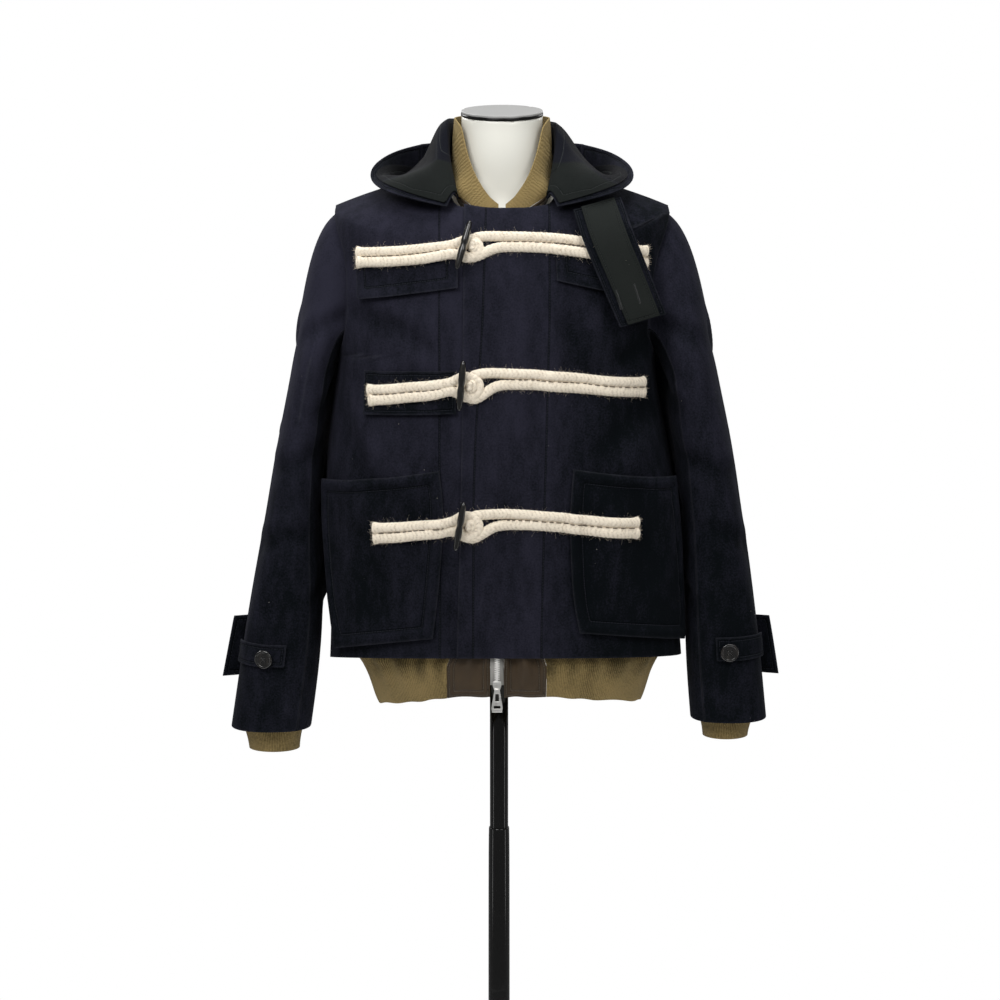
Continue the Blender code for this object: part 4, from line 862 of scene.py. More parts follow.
@dataclass(frozen=True)
class KnitField(Field):
    """Puckers of a gathered knit, strongest at its sewn top."""

    top: float
    depth: float
    count: float
    reach: float

    def push(self, points: Array) -> Array:
        """Args: points: an array of places. Returns: the same places, puckered."""
        x, y = points[:, 0] - GARMENT_X, points[:, 1]
        turn = np.arctan2(x, -y)
        uneven = np.sin(turn * 3.0 + 0.7) * 0.9 + np.sin(turn * 7.0 + 2.0) * 0.6
        wave = np.sin(turn * self.count + uneven) * (0.65 + 0.35 * np.sin(turn * 5.0 + 1.0))
        share = bell(points[:, 2], self.top, self.reach)
        share *= smooth((self.top + 0.006 - points[:, 2]) / 0.010)
        return points + outwards(x, y) * (wave * share * self.depth)[:, None]


# ---- cloth panels
def vectors_of(items: Any, name: str = "co") -> Array:
    """Args: items: a mesh's corners or normals. name: what to read.
    Returns: an array with a row each."""
    flat = np.empty(len(items) * 3)
    items.foreach_get(name, flat)
    return flat.reshape(-1, 3)


def vertices_of(node: str) -> Array:
    """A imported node's corners as an array."""
    return vectors_of(NODES[node].data.vertices)


def around(points: Array) -> tuple[Array, Array]:
    """Args: points: an array of places.
    Returns: each one's turn round their middle, from the front, and its reach."""
    x, y, _ = (points - points.mean(0)).T
    return np.arctan2(x, -y), np.hypot(x, y)


def merged(node: str) -> Shape:
    """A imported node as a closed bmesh, its triangles paired again."""
    shape = bmesh.new()
    shape.from_mesh(NODES[node].data)
    bmesh.ops.remove_doubles(shape, verts=shape.verts, dist=MERGE)
    bmesh.ops.join_triangles(shape, faces=shape.faces, angle_face_threshold=0.6,
                             angle_shape_threshold=3.1)
    return shape


def plain_mesh(name: str, shape: Shape) -> Mesh:
    """A new mesh of a bmesh's corners and faces alone; the bmesh is freed."""
    shape.verts.index_update()
    mesh = bpy.data.meshes.new(name)
    faces = [[v.index for v in face.verts] for face in shape.faces]
    mesh.from_pydata([v.co.copy() for v in shape.verts], [], faces)
    mesh.validate()
    shape.free()
    return mesh


def linked(name: str, data: Any) -> Object:
    """A new object of some data, in the scene."""
    obj = bpy.data.objects.new(name, data)
    bpy.context.scene.collection.objects.link(obj)
    return obj


def subdivide(obj: Object, levels: int) -> None:
    """Give an object a subdivision surface."""
    finer = obj.modifiers.new("finer", "SUBSURF")
    finer.levels = finer.render_levels = levels


def applied(obj: Object) -> Mesh:
    """The finished mesh of a helper object, which is removed."""
    depsgraph = bpy.context.evaluated_depsgraph_get()
    mesh = bpy.data.meshes.new_from_object(obj.evaluated_get(depsgraph))
    bpy.data.objects.remove(obj, do_unlink=True)
    return mesh


def skin(shape: Shape, rings: list) -> None:
    """Join rings of corners, each one to the next, with faces."""
    for low, high in zip(rings, rings[1:]):
        for k, corner in enumerate(low):
            j = (k + 1) % len(low)
            shape.faces.new((corner, low[j], high[j], high[k]))


def circle(shape: Shape, middle: Vector, side: Vector, other: Vector, radius: float,
           count: int) -> list:
    """A ring of new corners round a middle, in the plane of two unit vectors."""
    turns = (math.tau * k / count for k in range(count))
    return [shape.verts.new(middle + (side * math.cos(a) + other * math.sin(a)) * radius)
            for a in turns]


def shown(name: str, mesh: Any, finish: Finish, body: str,
          nodes: Sequence[str] = ()) -> Object:
    """Link a finished mesh.

    Args: name: the piece's name. mesh: its mesh or bmesh, in place. finish: its Finish.
        body: the body it rides on. nodes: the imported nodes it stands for.
    Returns: the object.
    """
    if isinstance(mesh, Shape):
        mesh = plain_mesh(name, mesh)
    obj = linked(name, mesh)
    mesh.materials.clear()
    mesh.materials.append(finish.material())
    mesh.polygons.foreach_set("use_smooth", [True] * len(mesh.polygons))
    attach(obj, body)
    if nodes:
        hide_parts(*nodes)
    LOG.info("%s: %d faces", name, len(mesh.polygons))
    return obj


def set_attribute(mesh: Mesh, name: str, kind: str, values: Array) -> None:
    """Store an array of values at a mesh's points."""
    layer = mesh.attributes.new(name, kind, "POINT")
    layer.data.foreach_set("vector" if kind == "FLOAT_VECTOR" else "value",
                           np.asarray(values, dtype=np.float32).ravel())


def turning_edges(shape: Shape) -> set:
    """The sharply turning edges of a panel, as a set."""
    return {e for e in shape.edges if e.is_manifold and e.calc_face_angle(0.0) > RIM_TURN}


def rim_chains(shape: Shape) -> list:
    """Walk the sharply turning edges of a panel, both ways from each start.

    Args: shape: the merged bmesh.
    Returns: lists of (edge, first corner, last corner); short strays are left out.
    """
    sharp = turning_edges(shape)
    chains = []
    while sharp:
        start = min(sharp, key=lambda e: e.index)
        sharp.discard(start)
        ends = []
        for first in start.verts:
            last, vert, walked = start.other_vert(first), first, []
            while True:
                heading = (vert.co - last.co).normalized()
                turns = {e: heading.dot((e.other_vert(vert).co - vert.co).normalized())
                         for e in vert.link_edges if e in sharp}
                if not turns:
                    break
                ahead = max(turns, key=turns.get)
                sharp.discard(ahead)
                last, vert = vert, ahead.other_vert(vert)
                walked.append((ahead, last, vert))
            ends.append(walked)
        chain = [(edge, far, near) for edge, near, far in ends[0][::-1]]
        chain += [(start, start.verts[0], start.verts[1])] + ends[1]
        if sum(link[0].calc_length() for link in chain) > RIM_LEAST:
            chains.append(chain)
    return chains


class Rim:
    """A panel's edge line: its samples tell how far a point lies from the edge."""

    step = 0.0022

    def __init__(self, shape: Shape) -> None:
        """Args: shape: the panel's merged bmesh."""
        shape.normal_update()
        self.places, self.runs = [], []
        run = 0.0
        for edge, vert, far in (link for chain in rim_chains(shape) for link in chain):
            steps = max(1, int(edge.calc_length() / self.step))
            for i in range(steps):
                self.places.append(vert.co.lerp(far.co, i / steps))
                self.runs.append(run + edge.calc_length() * i / steps)
            run += edge.calc_length()
        self.tree = KDTree(len(self.places))
        for i, place in enumerate(self.places):
            self.tree.insert(place, i)
        self.tree.balance()

    def measure(self, points: Array) -> tuple:
        """Args: points: an array of places.
        Returns: each one's distance from the edge and the run along it."""
        found = [self.tree.find(point) for point in points]
        return (np.array([f[2] for f in found]), np.array([self.runs[f[1]] for f in found]))


@dataclass(frozen=True)
class Seam:
    """A sewn line across a panel, by its X at a few heights."""

    heights: tuple
    across: tuple

    def distance(self, points: Array) -> Array:
        """Signed distance in X of an array of places."""
        return points[:, 0] - np.interp(points[:, 2], self.heights, self.across)


@dataclass
class Panel:
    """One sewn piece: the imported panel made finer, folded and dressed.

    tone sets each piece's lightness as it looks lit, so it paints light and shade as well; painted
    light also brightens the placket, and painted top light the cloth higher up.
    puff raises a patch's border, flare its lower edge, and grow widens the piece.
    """

    node: str
    flat: tuple
    area: float
    finish: Finish = Finish.MELTON
    levels: int = 3
    fields: tuple = ()
    stitches: tuple = ()
    seams: tuple = ()
    puff: float = 0.0
    crease: float = 0.45
    rests_on: tuple = ()
    knit: str = ""
    tone: float = 0.20
    placket_light: float = 0.0
    light_from_above: float = 0.0
    flare: float = 0.0
    grow: float = 0.0

    def build(self) -> Object:
        """Returns: the finished object."""
        shape = merged(self.node)
        self.rim = Rim(shape)
        mesh = self.finer(shape)
        points = vectors_of(mesh.vertices)
        edge, run = self.rim.measure(points)
        self.mark(mesh, points, edge, run)
        if self.knit:
            set_attribute(mesh, "rib", "FLOAT_VECTOR", self.ribs(points, run))
        points = self.swell(mesh, points, edge)
        points[:, 0] *= 1.0 + self.grow
        unfolded = points
        for cloth_field in self.fields:
            points = cloth_field.push(points)
        self.shade(mesh, points - unfolded)
        mesh.vertices.foreach_set("co", points.ravel())
        mesh.update()
        obj = shown(self.node + "_cloth", mesh, self.finish, "upper", [self.node])
        return obj

    def finer(self, shape: Shape) -> Mesh:
        """Subdivide the merged panel with its rim held by creases."""
        mesh = plain_mesh(self.node + "_cloth", shape)
        bm = bmesh.new()
        bm.from_mesh(mesh)
        layer = bm.edges.layers.float.new("crease_edge")
        bm.normal_update()
        for edge in (link[0] for chain in rim_chains(bm) for link in chain):
            edge[layer] = self.crease
        corner = bm.verts.layers.float.new("crease_vert")
        sharp = turning_edges(bm)
        for vert in bm.verts:
            if sum(e in sharp for e in vert.link_edges) > 2:
                vert[corner] = 1.0
        bm.to_mesh(mesh)
        bm.free()
        source = linked(self.node + "_source", mesh)
        subdivide(source, self.levels)
        result = applied(source)
        bpy.data.meshes.remove(mesh)
        result.name = self.node + "_cloth"
        for name in ("crease_edge", "crease_vert"):
            if name in result.attributes:
                result.attributes.remove(result.attributes[name])
        return result

    def mark(self, mesh: Mesh, points: Array, edge: Array, run: Array) -> None:
        """Write the distances to the sewn lines and the runs along them."""
        stitch, runs = np.full((len(points), 3), FAR), np.zeros((len(points), 3))
        lines = [(edge - inset, run) for inset in self.stitches]
        lines += [(seam.distance(points), points[:, 2]) for seam in self.seams]
        for i, (distance, along) in enumerate(lines):
            stitch[:, i], runs[:, i] = distance, along
        set_attribute(mesh, "stitch", "FLOAT_VECTOR", stitch)
        set_attribute(mesh, "run", "FLOAT_VECTOR", runs)
        # Painted light: the placket, the front's middle, is made paler where it faces the light.
        placket, half = PLACKET_LIGHT
        middle = bell(points[:, 0], placket, half) * (points[:, 1] < 0.0)
        # Painted top light: cloth higher up is made paler, as the light falls from above.
        start, reach = TOP_LIGHT_FROM
        higher = self.light_from_above * smooth((points[:, 2] - start) / reach)
        # Each piece's own tone is set as it looks lit, so it paints light and shade as well.
        tone = self.tone + self.placket_light * middle + higher
        if self.knit == "hem":
            turn = np.arctan2(points[:, 0], -points[:, 1])
            # Painted shade under the coat's edge and in the puckers at the knit's gathered top.
            gathered = bell(points[:, 2], *HEM_SHADE_BAND)
            tone -= gathered * (0.45 + 0.35 * np.sin(turn * 34.0 + np.sin(turn * 9.0)))
            tone += 0.12 * np.sin(turn * 11.0 + points[:, 2] * 90.0)
        set_attribute(mesh, "tone", "FLOAT", tone)
        set_attribute(mesh, "edge", "FLOAT", edge)
        fold = np.full((len(points), 3), (-30.0, 0.0, 30.0))
        if self.node == "hood_lining":
            fold = np.stack(Lining().measure(points), axis=1)
        set_attribute(mesh, "fold", "FLOAT_VECTOR", fold)

    def shade(self, mesh: Mesh, moves: Array) -> None:
        """Paint shade into the cloth's troughs and light onto its ridges, as tone."""
        normals = vectors_of(mesh.vertex_normals, "vector")
        rise = np.clip((moves * normals).sum(axis=1), -DEEPEST, DEEPEST)
        tone = np.empty(len(moves), dtype=np.float32)
        layer = mesh.attributes["tone"].data
        layer.foreach_get("value", tone)
        layer.foreach_set("value", tone + (rise * SHADING).astype(np.float32))

    def swell(self, mesh: Mesh, points: Array, edge: Array) -> Array:
        """Raise the border between the edge and the stitching, and the lower edge."""
        if not self.puff:
            return points
        points[:, 1] -= self.flare * bell(points[:, 2], points[:, 2].min(), FLARE_REACH)
        normals = vectors_of(mesh.vertex_normals, "vector")
        rise = np.sin(np.pi * np.clip(edge / BORDER, 0.0, 1.0)) * self.puff
        width, share = GROOVE
        rise -= bell(edge, BORDER, width) * self.puff * share
        outer = smooth(-normals[:, 1] * 2.0)
        return points + normals * (rise * outer)[:, None]

    def ribs(self, points: Array, run: Array) -> Array:
        """The knit's own directions: across its ribs and along them."""
        turn, reach = around(points)
        across = self.across_collar(points) if self.knit == "collar" else turn * reach.mean()
        return np.stack([across, points[:, 2], run], axis=1)

    def across_collar(self, points: Array) -> Array:
        """The run of the nearest point of the collar's upper edge, so ribs cross the band."""
        places = np.array([tuple(p) for p in self.rim.places])
        turn, _ = around(places)
        top = []
        for i, angle in enumerate(turn):
            beside = np.abs((turn - angle + np.pi) % math.tau - np.pi) < BESIDE
            if places[i, 2] > places[beside, 2].mean():
                top.append(i)
        tree = KDTree(len(top))
        order = sorted(top, key=lambda i: turn[i])
        length, runs, last = 0.0, {}, None
        for i in order:
            if last is not None:
                length += COLLAR_RADIUS * abs(turn[i] - turn[last])
            runs[i] = length
            last = i
            tree.insert(places[i], i)
        tree.balance()
        return np.array([runs[tree.find(point)[1]] for point in points])


# ---- ropes
def smooth_line(places: list[Vector], step: float) -> list[Vector]:
    """Resample a line of places evenly.

    Args: places: Vectors. step: the wanted spacing.
    Returns: Vectors on a smooth curve through them.
    """
    fine = []
    for i in range(len(places) - 1):
        before = places[max(i - 1, 0)]
        a, b = places[i], places[i + 1]
        after = places[min(i + 2, len(places) - 1)]
        for k in range(12):
            t = k / 12
            fine.append(0.5 * ((2 * a) + (b - before) * t + (2 * before - 5 * a + 4 * b - after)
                               * t ** 2 + (3 * a - before - 3 * b + after) * t ** 3))
    fine.append(places[-1])
    runs = [0.0]
    for a, b in zip(fine, fine[1:]):
        runs.append(runs[-1] + (b - a).length)
    count = max(3, round(runs[-1] / step))
    result, k = [], 0
    for i in range(count + 1):
        want = runs[-1] * i / count
        while k < len(runs) - 2 and runs[k + 1] < want:
            k += 1
        span = runs[k + 1] - runs[k] or 1.0
        result.append(fine[k].lerp(fine[k + 1], min((want - runs[k]) / span, 1.0)))
    return result


class Ground:
    """The outer faces of finished panels, on which ropes are laid from the front."""

    def __init__(self, names: Sequence[str]) -> None:
        """Args: names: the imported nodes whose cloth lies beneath."""
        shape = bmesh.new()
        for name in names:
            shape.from_mesh(bpy.data.objects[name + "_cloth"].data)
        self.tree = BVHTree.FromBMesh(shape)
        shape.free()

    def seat(self, x: float, z: float, lift: float) -> Vector:
        """The place in front of the cloth at X and Z, lift off it."""
        spot, normal, _, _ = self.tree.ray_cast(Vector((x, -0.4, z)), Vector((0, 1, 0)))
        return spot + normal * lift


@dataclass
class Rope:
    """One strand of jute cord: its plaited body and loose hair."""

    name: str
    line: list
    seed: int
    nodes: tuple = ()
    wide: float = 0.0136
    high: float = 0.0082
    pitch: float = 0.0056
    step: float = 0.0011
    ring: int = 16
    hairs: float = 1400.0
    flare: float = 0.22
    tufts: int = 110

    def build(self) -> Object:
        """Returns: the rope's object."""
        self.random = random.Random(self.seed)
        self.length = (len(self.line) - 1) * self.step
        obj = shown(self.name + "_jute", self.plaited(), Finish.JUTE, "upper", self.nodes)
        shown(self.name + "_fibres", self.hair(), Finish.FIBRE, "upper")
        return obj

    def frame(self, i: int) -> tuple[Vector, Vector, Vector]:
        """The line's heading, the way across it and the way out of the cloth."""
        line = self.line
        ahead = (line[min(i + 2, len(line) - 1)] - line[max(i - 2, 0)]).normalized()
        out = Vector(TORSO.outward(np.array([tuple(line[i])]))[0])
        out = (out - ahead * out.dot(ahead)).normalized()
        return ahead, out.cross(ahead), out

    def section(self, turn: float, run: float, beside: float) -> tuple[float, float]:
        """The plait's radius share and hollow, by turn, run and turn from its top."""
        wander = noise.noise(Vector((run * 90.0, self.seed, 0.0))) * 1.1
        lobe = abs(math.cos(math.pi * run / self.pitch - 1.6 * beside + wander)) ** 0.8
        rough = noise.noise(Vector((run * 420.0, turn * 2.6, self.seed)))
        end = min(run, self.length - run)
        flare = 1.0 + self.flare * bell(end, 0.0, 0.006)
        return (0.94 + 0.08 * lobe + 0.09 * rough) * flare, lobe

    def plaited(self) -> Mesh:
        """A tube along the line with the plait's chevrons raised on it."""
        shape = bmesh.new()
        rings, marks = [], []
        for i, place in enumerate(self.line):
            _, across, out = self.frame(i)
            run = i * self.step
            ring = []
            for k in range(self.ring):
                turn = math.tau * k / self.ring
                beside = abs((turn - math.pi / 2 + math.pi) % math.tau - math.pi)
                size, lobe = self.section(turn, run, beside)
                spot = (place + across * (math.cos(turn) * self.wide / 2 * size)
                        + out * (math.sin(turn) * self.high / 2 * size))
                ring.append(shape.verts.new(spot))
                marks.append((lobe, math.tau * (run / 0.0016 + beside * 1.5), 0.0))
            rings.append(ring)
        skin(shape, rings)
        for ring, inner in ((rings[0][::-1], rings[1]), (rings[-1], rings[-2])):
            middle = sum((v.co for v in ring), Vector()) / self.ring
            heading = (middle - sum((v.co for v in inner), Vector()) / self.ring).normalized()
            tip = shape.verts.new(middle + heading * 0.0012)
            marks.append((0.6, 0.0, 0.0))
            for k in range(self.ring):
                shape.faces.new((ring[k], ring[(k + 1) % self.ring], tip))
        bmesh.ops.recalc_face_normals(shape, faces=shape.faces)
        mesh = plain_mesh(self.name + "_jute", shape)
        set_attribute(mesh, "twist", "FLOAT_VECTOR", np.array(marks))
        return mesh

    def hair(self) -> Shape:
        """Loose fibres that stand off the rope, thicker at its ends."""
        shape = bmesh.new()
        for _ in range(int(self.hairs * self.length)):
            i = self.random.randrange(len(self.line))
            ahead, across, out = self.frame(i)
            turn = self.random.uniform(-0.3, math.pi + 0.3)
            away = across * math.cos(turn) + out * math.sin(turn)
            root = self.line[i] + across * (math.cos(turn) * self.wide * 0.48)
            root += out * (math.sin(turn) * self.high * 0.48)
            lean = ahead * self.random.uniform(-1.2, 1.2)
            fibre(shape, root, away + lean, self.curl(0.6), self.random.uniform(0.0022, 0.0065),
                  self.random.uniform(0.00006, 0.00011))
        for i, inner in ((0, 3), (len(self.line) - 1, len(self.line) - 4)):
            heading = (self.line[i] - self.line[inner]).normalized()
            _, across, out = self.frame(i)
            for _ in range(self.tufts):
                u, v = self.random.uniform(-1, 1), self.random.uniform(-1, 1)
                root = self.line[i] + across * (u * self.wide * 0.55)
                root += out * (v * self.high * 0.45)
                lean = heading + across * (u * 0.5) + out * (v * 0.4 + 0.1)
                fibre(shape, root - heading * 0.002, lean, self.curl(0.4),
                      self.random.uniform(0.0028, 0.0056), self.random.uniform(0.00010, 0.00022))
        return shape

    def curl(self, most: float) -> Vector:
        """A random bend for one fibre."""
        return Vector([self.random.uniform(-most, most) for _ in range(3)])


@dataclass
class Fastening:
    """A toggle row: two doubled ropes, the knot beside the toggle, and their stitching."""

    row: str
    ground: Ground
    seed: int
    left_up: tuple
    left_low: tuple
    right_up: tuple
    right_low: tuple
    knot: tuple
    lift: float = 0.0041

    def build(self) -> None:
        """Build both ropes of the row, the knot and the stitching."""
        left = (self.left_up[::-1] + turned_back(self.left_up[0], self.left_low[0], -0.0050, 0.70)
                + self.left_low)
        right = (self.right_up + turned_back(self.right_up[-1], self.right_low[-1], 0.0055, 0.72)
                 + self.right_low[::-1])
        for side, path, sunk in (("left", left, 0.0015), ("right", right, 0.0)):
            name = f"rope_{self.row}_{side}"
            line = self.laid(path, sunk)
            Rope(name, line, self.seed + len(side), (name,)).build()
        self.knotted()
        self.sewn()

    def laid(self, path: Sequence[tuple], sunk: float) -> list[Vector]:
        """A path in X and Z laid on the cloth, sunk a little, smoothed and resampled."""
        flat = smooth_line([Vector((x + GARMENT_X, 0.0, z)) for x, z in path], 0.004)
        places = [self.ground.seat(p.x, p.z, self.lift - sunk) for p in flat]
        for _ in range(3):
            inner = [(a + b * 2 + c) / 4 for a, b, c in zip(places, places[1:], places[2:])]
            places = [places[0]] + inner + [places[-1]]
        return smooth_line(places, Rope.step)

    def knotted(self) -> None:
        """A small coil of cord, the knot that shows beside the toggle."""
        x, z = self.knot
        path = []
        for i in range(22):
            turn = math.tau * i / 14 + 0.9
            spot = self.ground.seat(x + GARMENT_X + 0.0028 * math.cos(turn),
                                    z + 0.0052 * math.sin(turn), self.lift + 0.0008 + 0.00012 * i)
            path.append(spot)
        Rope(f"knot_{self.row}", smooth_line(path, 0.0011), self.seed + 5, (), wide=0.0082,
             high=0.0066, pitch=0.0062, hairs=700.0, flare=0.0, tufts=12).build()

    def sewn(self) -> None:
        """The broken line of stitches between the strands."""
        shape = bmesh.new()
        rng = random.Random(self.seed)
        for ups, lows, left in ((self.left_up, self.left_low, True),
                                (self.right_up, self.right_low, False)):
            x, last = (0.006, lows[-1][0]) if left else (lows[0][0] + 0.006, -0.066)
            while x < last - 0.008:
                long = rng.uniform(0.004, 0.0075)
                ends = []
                for at in (x, x + long):
                    heights = [np.interp(at, *zip(*line)) for line in (ups, lows)]
                    ends.append(self.ground.seat(at + GARMENT_X, sum(heights) / 2,
                                                 self.lift + 0.0022))
                rod(shape, ends[0], ends[1], 0.00055, 5)
                x += long + rng.uniform(0.0015, 0.0045)
        shown(f"rope_{self.row}_stitches", shape, Finish.STITCH, "upper")


def turned_back(up: tuple, low: tuple, beyond: float, share: float) -> tuple:
    """Where a loop turns from one strand into the other.

    Args: up, low: the strands' ends. beyond: how far past them, by its sign to the left
        or the right. share: how near each strand the turn starts.
    Returns: two places in X and Z.
    """
    x = (min if beyond < 0.0 else max)(up[0], low[0]) + beyond
    return tuple((x, up[1] * s + low[1] * (1.0 - s)) for s in (share, 1.0 - share))


def fibre(shape: Shape, root: Vector, heading: Vector, bend: Vector, length: float,
          radius: float) -> None:
    """Add one thin bent fibre of three sides to a bmesh.

    Args: shape: the bmesh. root: where it starts. heading: which way. bend: how it
        curls. length: its length. radius: its thickness at the root.
    """
    heading = heading.normalized()
    side = heading.orthogonal().normalized()
    other = heading.cross(side)
    rings = []
    for i in range(4):
        t = i / 3
        middle = root + heading * (length * t) + bend * (length * t * t)
        rings.append(circle(shape, middle, side, other, radius * (1.0 - 0.65 * t), 3))
    skin(shape, rings)
    shape.faces.new(rings[0][::-1])
    shape.faces.new(rings[-1])


# ---- hard small pieces
def turned_mesh(name: str, profile: Sequence[tuple], steps: int,
                ring: bool = False) -> Mesh:
    """A turned mesh about Z.

    Args: name: the mesh's name. profile: pairs of radius and height, from Z to Z, or a
        closed line where ring is true. steps: how many. ring: whether it is a ring.
    Returns: the mesh.
    """
    shape = bmesh.new()
    verts = [shape.verts.new((r, 0.0, z)) for r, z in profile]
    for a, b in zip(verts, verts[1:] + verts[:1] * ring):
        shape.edges.new((a, b))
    bmesh.ops.spin(shape, geom=shape.verts[:] + shape.edges[:], cent=(0, 0, 0), axis=(0, 0, 1),
                   angle=math.tau, steps=steps, use_merge=True)
    bmesh.ops.remove_doubles(shape, verts=shape.verts, dist=SAME)
    bmesh.ops.recalc_face_normals(shape, faces=shape.faces)
    return plain_mesh(name, shape)


def axes_of(node: str) -> tuple:
    """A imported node's middle and its axes, the longest first."""
    places = vertices_of(node)
    middle = (places.max(0) + places.min(0)) / 2
    _, _, axes = np.linalg.svd(places - places.mean(0), full_matrices=False)
    return Vector(middle), [Vector(a) for a in axes]


@dataclass
class Toggle:
    """A slim tapered horn toggle, waisted at its middle, that lies across the rope's loop."""

    node: str
    ground: Field
    length: float = 0.067
    radius: float = 0.0049
    end: float = 0.0024

    def build(self) -> Object:
        """Returns: the toggle's object."""
        middle, axes = axes_of(self.node)
        up = axes[0] if axes[0].z > 0 else -axes[0]
        profile = [(0.0, -self.length / 2)]
        for i in range(25):
            t = i / 24
            bulge = math.sin(math.pi * t) ** 0.62
            tip = min(1.0, math.sqrt(max(0.0, min(t, 1 - t) * 24)) * 0.8 + 0.15)
            radius = (self.end + (self.radius - self.end) * bulge) * tip
            radius -= 0.0011 * bell(t, 0.5, 0.055)
            profile.append((radius, self.length * (t - 0.5)))
        profile.append((0.0, self.length / 2))
        mesh = turned_mesh(self.node + "_horn", profile, 28)
        place = Matrix.Translation(self.ground.at(middle))
        mesh.transform(place @ up.to_track_quat("Z", "Y").to_matrix().to_4x4())
        return shown(self.node + "_horn", mesh, Finish.HORN, "upper", [self.node])


@dataclass
class Button:
    """A four-hole horn button with a raised rim, sewn on with crossed thread."""

    node: str
    ground: Field
    radius: float = 0.0124
    thick: float = 0.0034
    hole: float = 0.00125
    spread: float = 0.0027
    rim: tuple = ((0.70, -0.30), (0.92, -0.44), (1.0, -0.20), (1.0, 0.20), (0.95, 0.46),
                  (0.86, 0.56), (0.77, 0.46), (0.70, 0.28))

    def build(self) -> Object:
        """Returns: the button's object."""
        middle, axes = axes_of(self.node)
        facing = axes[2] if axes[2].y < 0 else -axes[2]
        turn = facing.to_track_quat("Z", "Y").to_matrix().to_4x4()
        place = Matrix.Translation(self.ground.at(middle)) @ turn
        mesh = self.disc()
        mesh.transform(place)
        obj = shown(self.node + "_horn", mesh, Finish.HORN, "upper", [self.node])
        thread = self.thread()
        thread.transform(place)
        shown(self.node + "_thread", thread, Finish.THREAD, "upper")
        return obj

    def disc(self) -> Mesh:
        """The pierced middle and the rounded rim, as one mesh."""
        flat = bpy.data.curves.new(self.node, "CURVE")
        flat.dimensions = "2D"
        flat.fill_mode = "BOTH"
        flat.extrude = self.thick * 0.30
        flat.bevel_depth = 0.00025
        flat.bevel_resolution = 1
        rings = [(0.0, 0.0, self.radius * 0.80, 40)]
        rings += [(self.spread * sx, self.spread * sy, self.hole, 14)
                  for sx in (-1, 1) for sy in (-1, 1)]
        for x, y, radius, count in rings:
            spline = flat.splines.new("POLY")
            spline.points.add(count - 1)
            for i, point in enumerate(spline.points):
                turn = math.tau * i / count
                point.co = (x + radius * math.cos(turn), y + radius * math.sin(turn), 0.0, 1.0)
            spline.use_cyclic_u = True
        shape = bmesh.new()
        shape.from_mesh(applied(linked(self.node + "_flat", flat)))
        bmesh.ops.remove_doubles(shape, verts=shape.verts, dist=SAME)
        profile = [(self.radius * r, self.thick * z) for r, z in self.rim]
        ring = turned_mesh("rim", profile, 48, True)
        shape.from_mesh(ring)
        bpy.data.meshes.remove(ring)
        return plain_mesh(self.node + "_horn", shape)

    def thread(self) -> Mesh:
        """Two crossed pairs of sewing thread over the holes."""
        shape = bmesh.new()
        for sx in (-1, 1):
            a = Vector((self.spread * sx, self.spread, self.thick * 0.38))
            b = Vector((self.spread * -sx, -self.spread, self.thick * 0.38))
            for shift in (-0.0004, 0.0004):
                move = Vector((shift, shift * sx, 0.0))
                rod(shape, a + move, b + move, 0.00028, 6)
        return plain_mesh(self.node + "_thread", shape)


def rod(shape: Shape, start: Vector, end: Vector, radius: float, sides: int) -> None:
    """Add a straight rod with pointed ends to a bmesh."""
    heading = (end - start).normalized()
    side = heading.orthogonal().normalized()
    other = heading.cross(side)
    rings = []
    for t in (0.08, 0.92):
        rings.append(circle(shape, start.lerp(end, t), side, other, radius, sides))
    tips = [shape.verts.new(start), shape.verts.new(end)]
    skin(shape, rings)
    for k in range(sides):
        j = (k + 1) % sides
        shape.faces.new((tips[0], rings[0][j], rings[0][k]))
        shape.faces.new((tips[1], rings[1][k], rings[1][j]))


@dataclass
class Hard:
    """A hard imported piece, kept in form, with finer round faces or softened edges."""

    node: str
    finish: Finish
    body: str
    levels: int = 0
    bevel: float = 0.0
    crease: float = 1.0

    def build(self) -> Object:
        """Returns: the finished object."""
        shape = merged(self.node)
        if self.bevel:
            bmesh.ops.dissolve_limit(shape, angle_limit=math.radians(4), verts=shape.verts,
                                     edges=shape.edges)
            edges = [e for e in shape.edges if e.is_manifold and e.calc_face_angle(0.0) > 0.6]
            bmesh.ops.bevel(shape, geom=edges, offset=self.bevel, affect="EDGES", segments=3,
                            profile=0.5, material=-1, clamp_overlap=True)
        obj = shown(self.node + "_shape", shape, self.finish, self.body, [self.node])
        if self.levels:
            self.rounded(obj)
        return obj

    def rounded(self, obj: Object) -> None:
        """Round the faces with a subdivision that keeps sharp rims."""
        bm = bmesh.new()
        bm.from_mesh(obj.data)
        layer = bm.edges.layers.float.new("crease_edge")
        for edge in bm.edges:
            if edge.is_manifold and edge.calc_face_angle(0.0) > SHARP:
                edge[layer] = self.crease
        bm.to_mesh(obj.data)
        bm.free()
        subdivide(obj, self.levels)


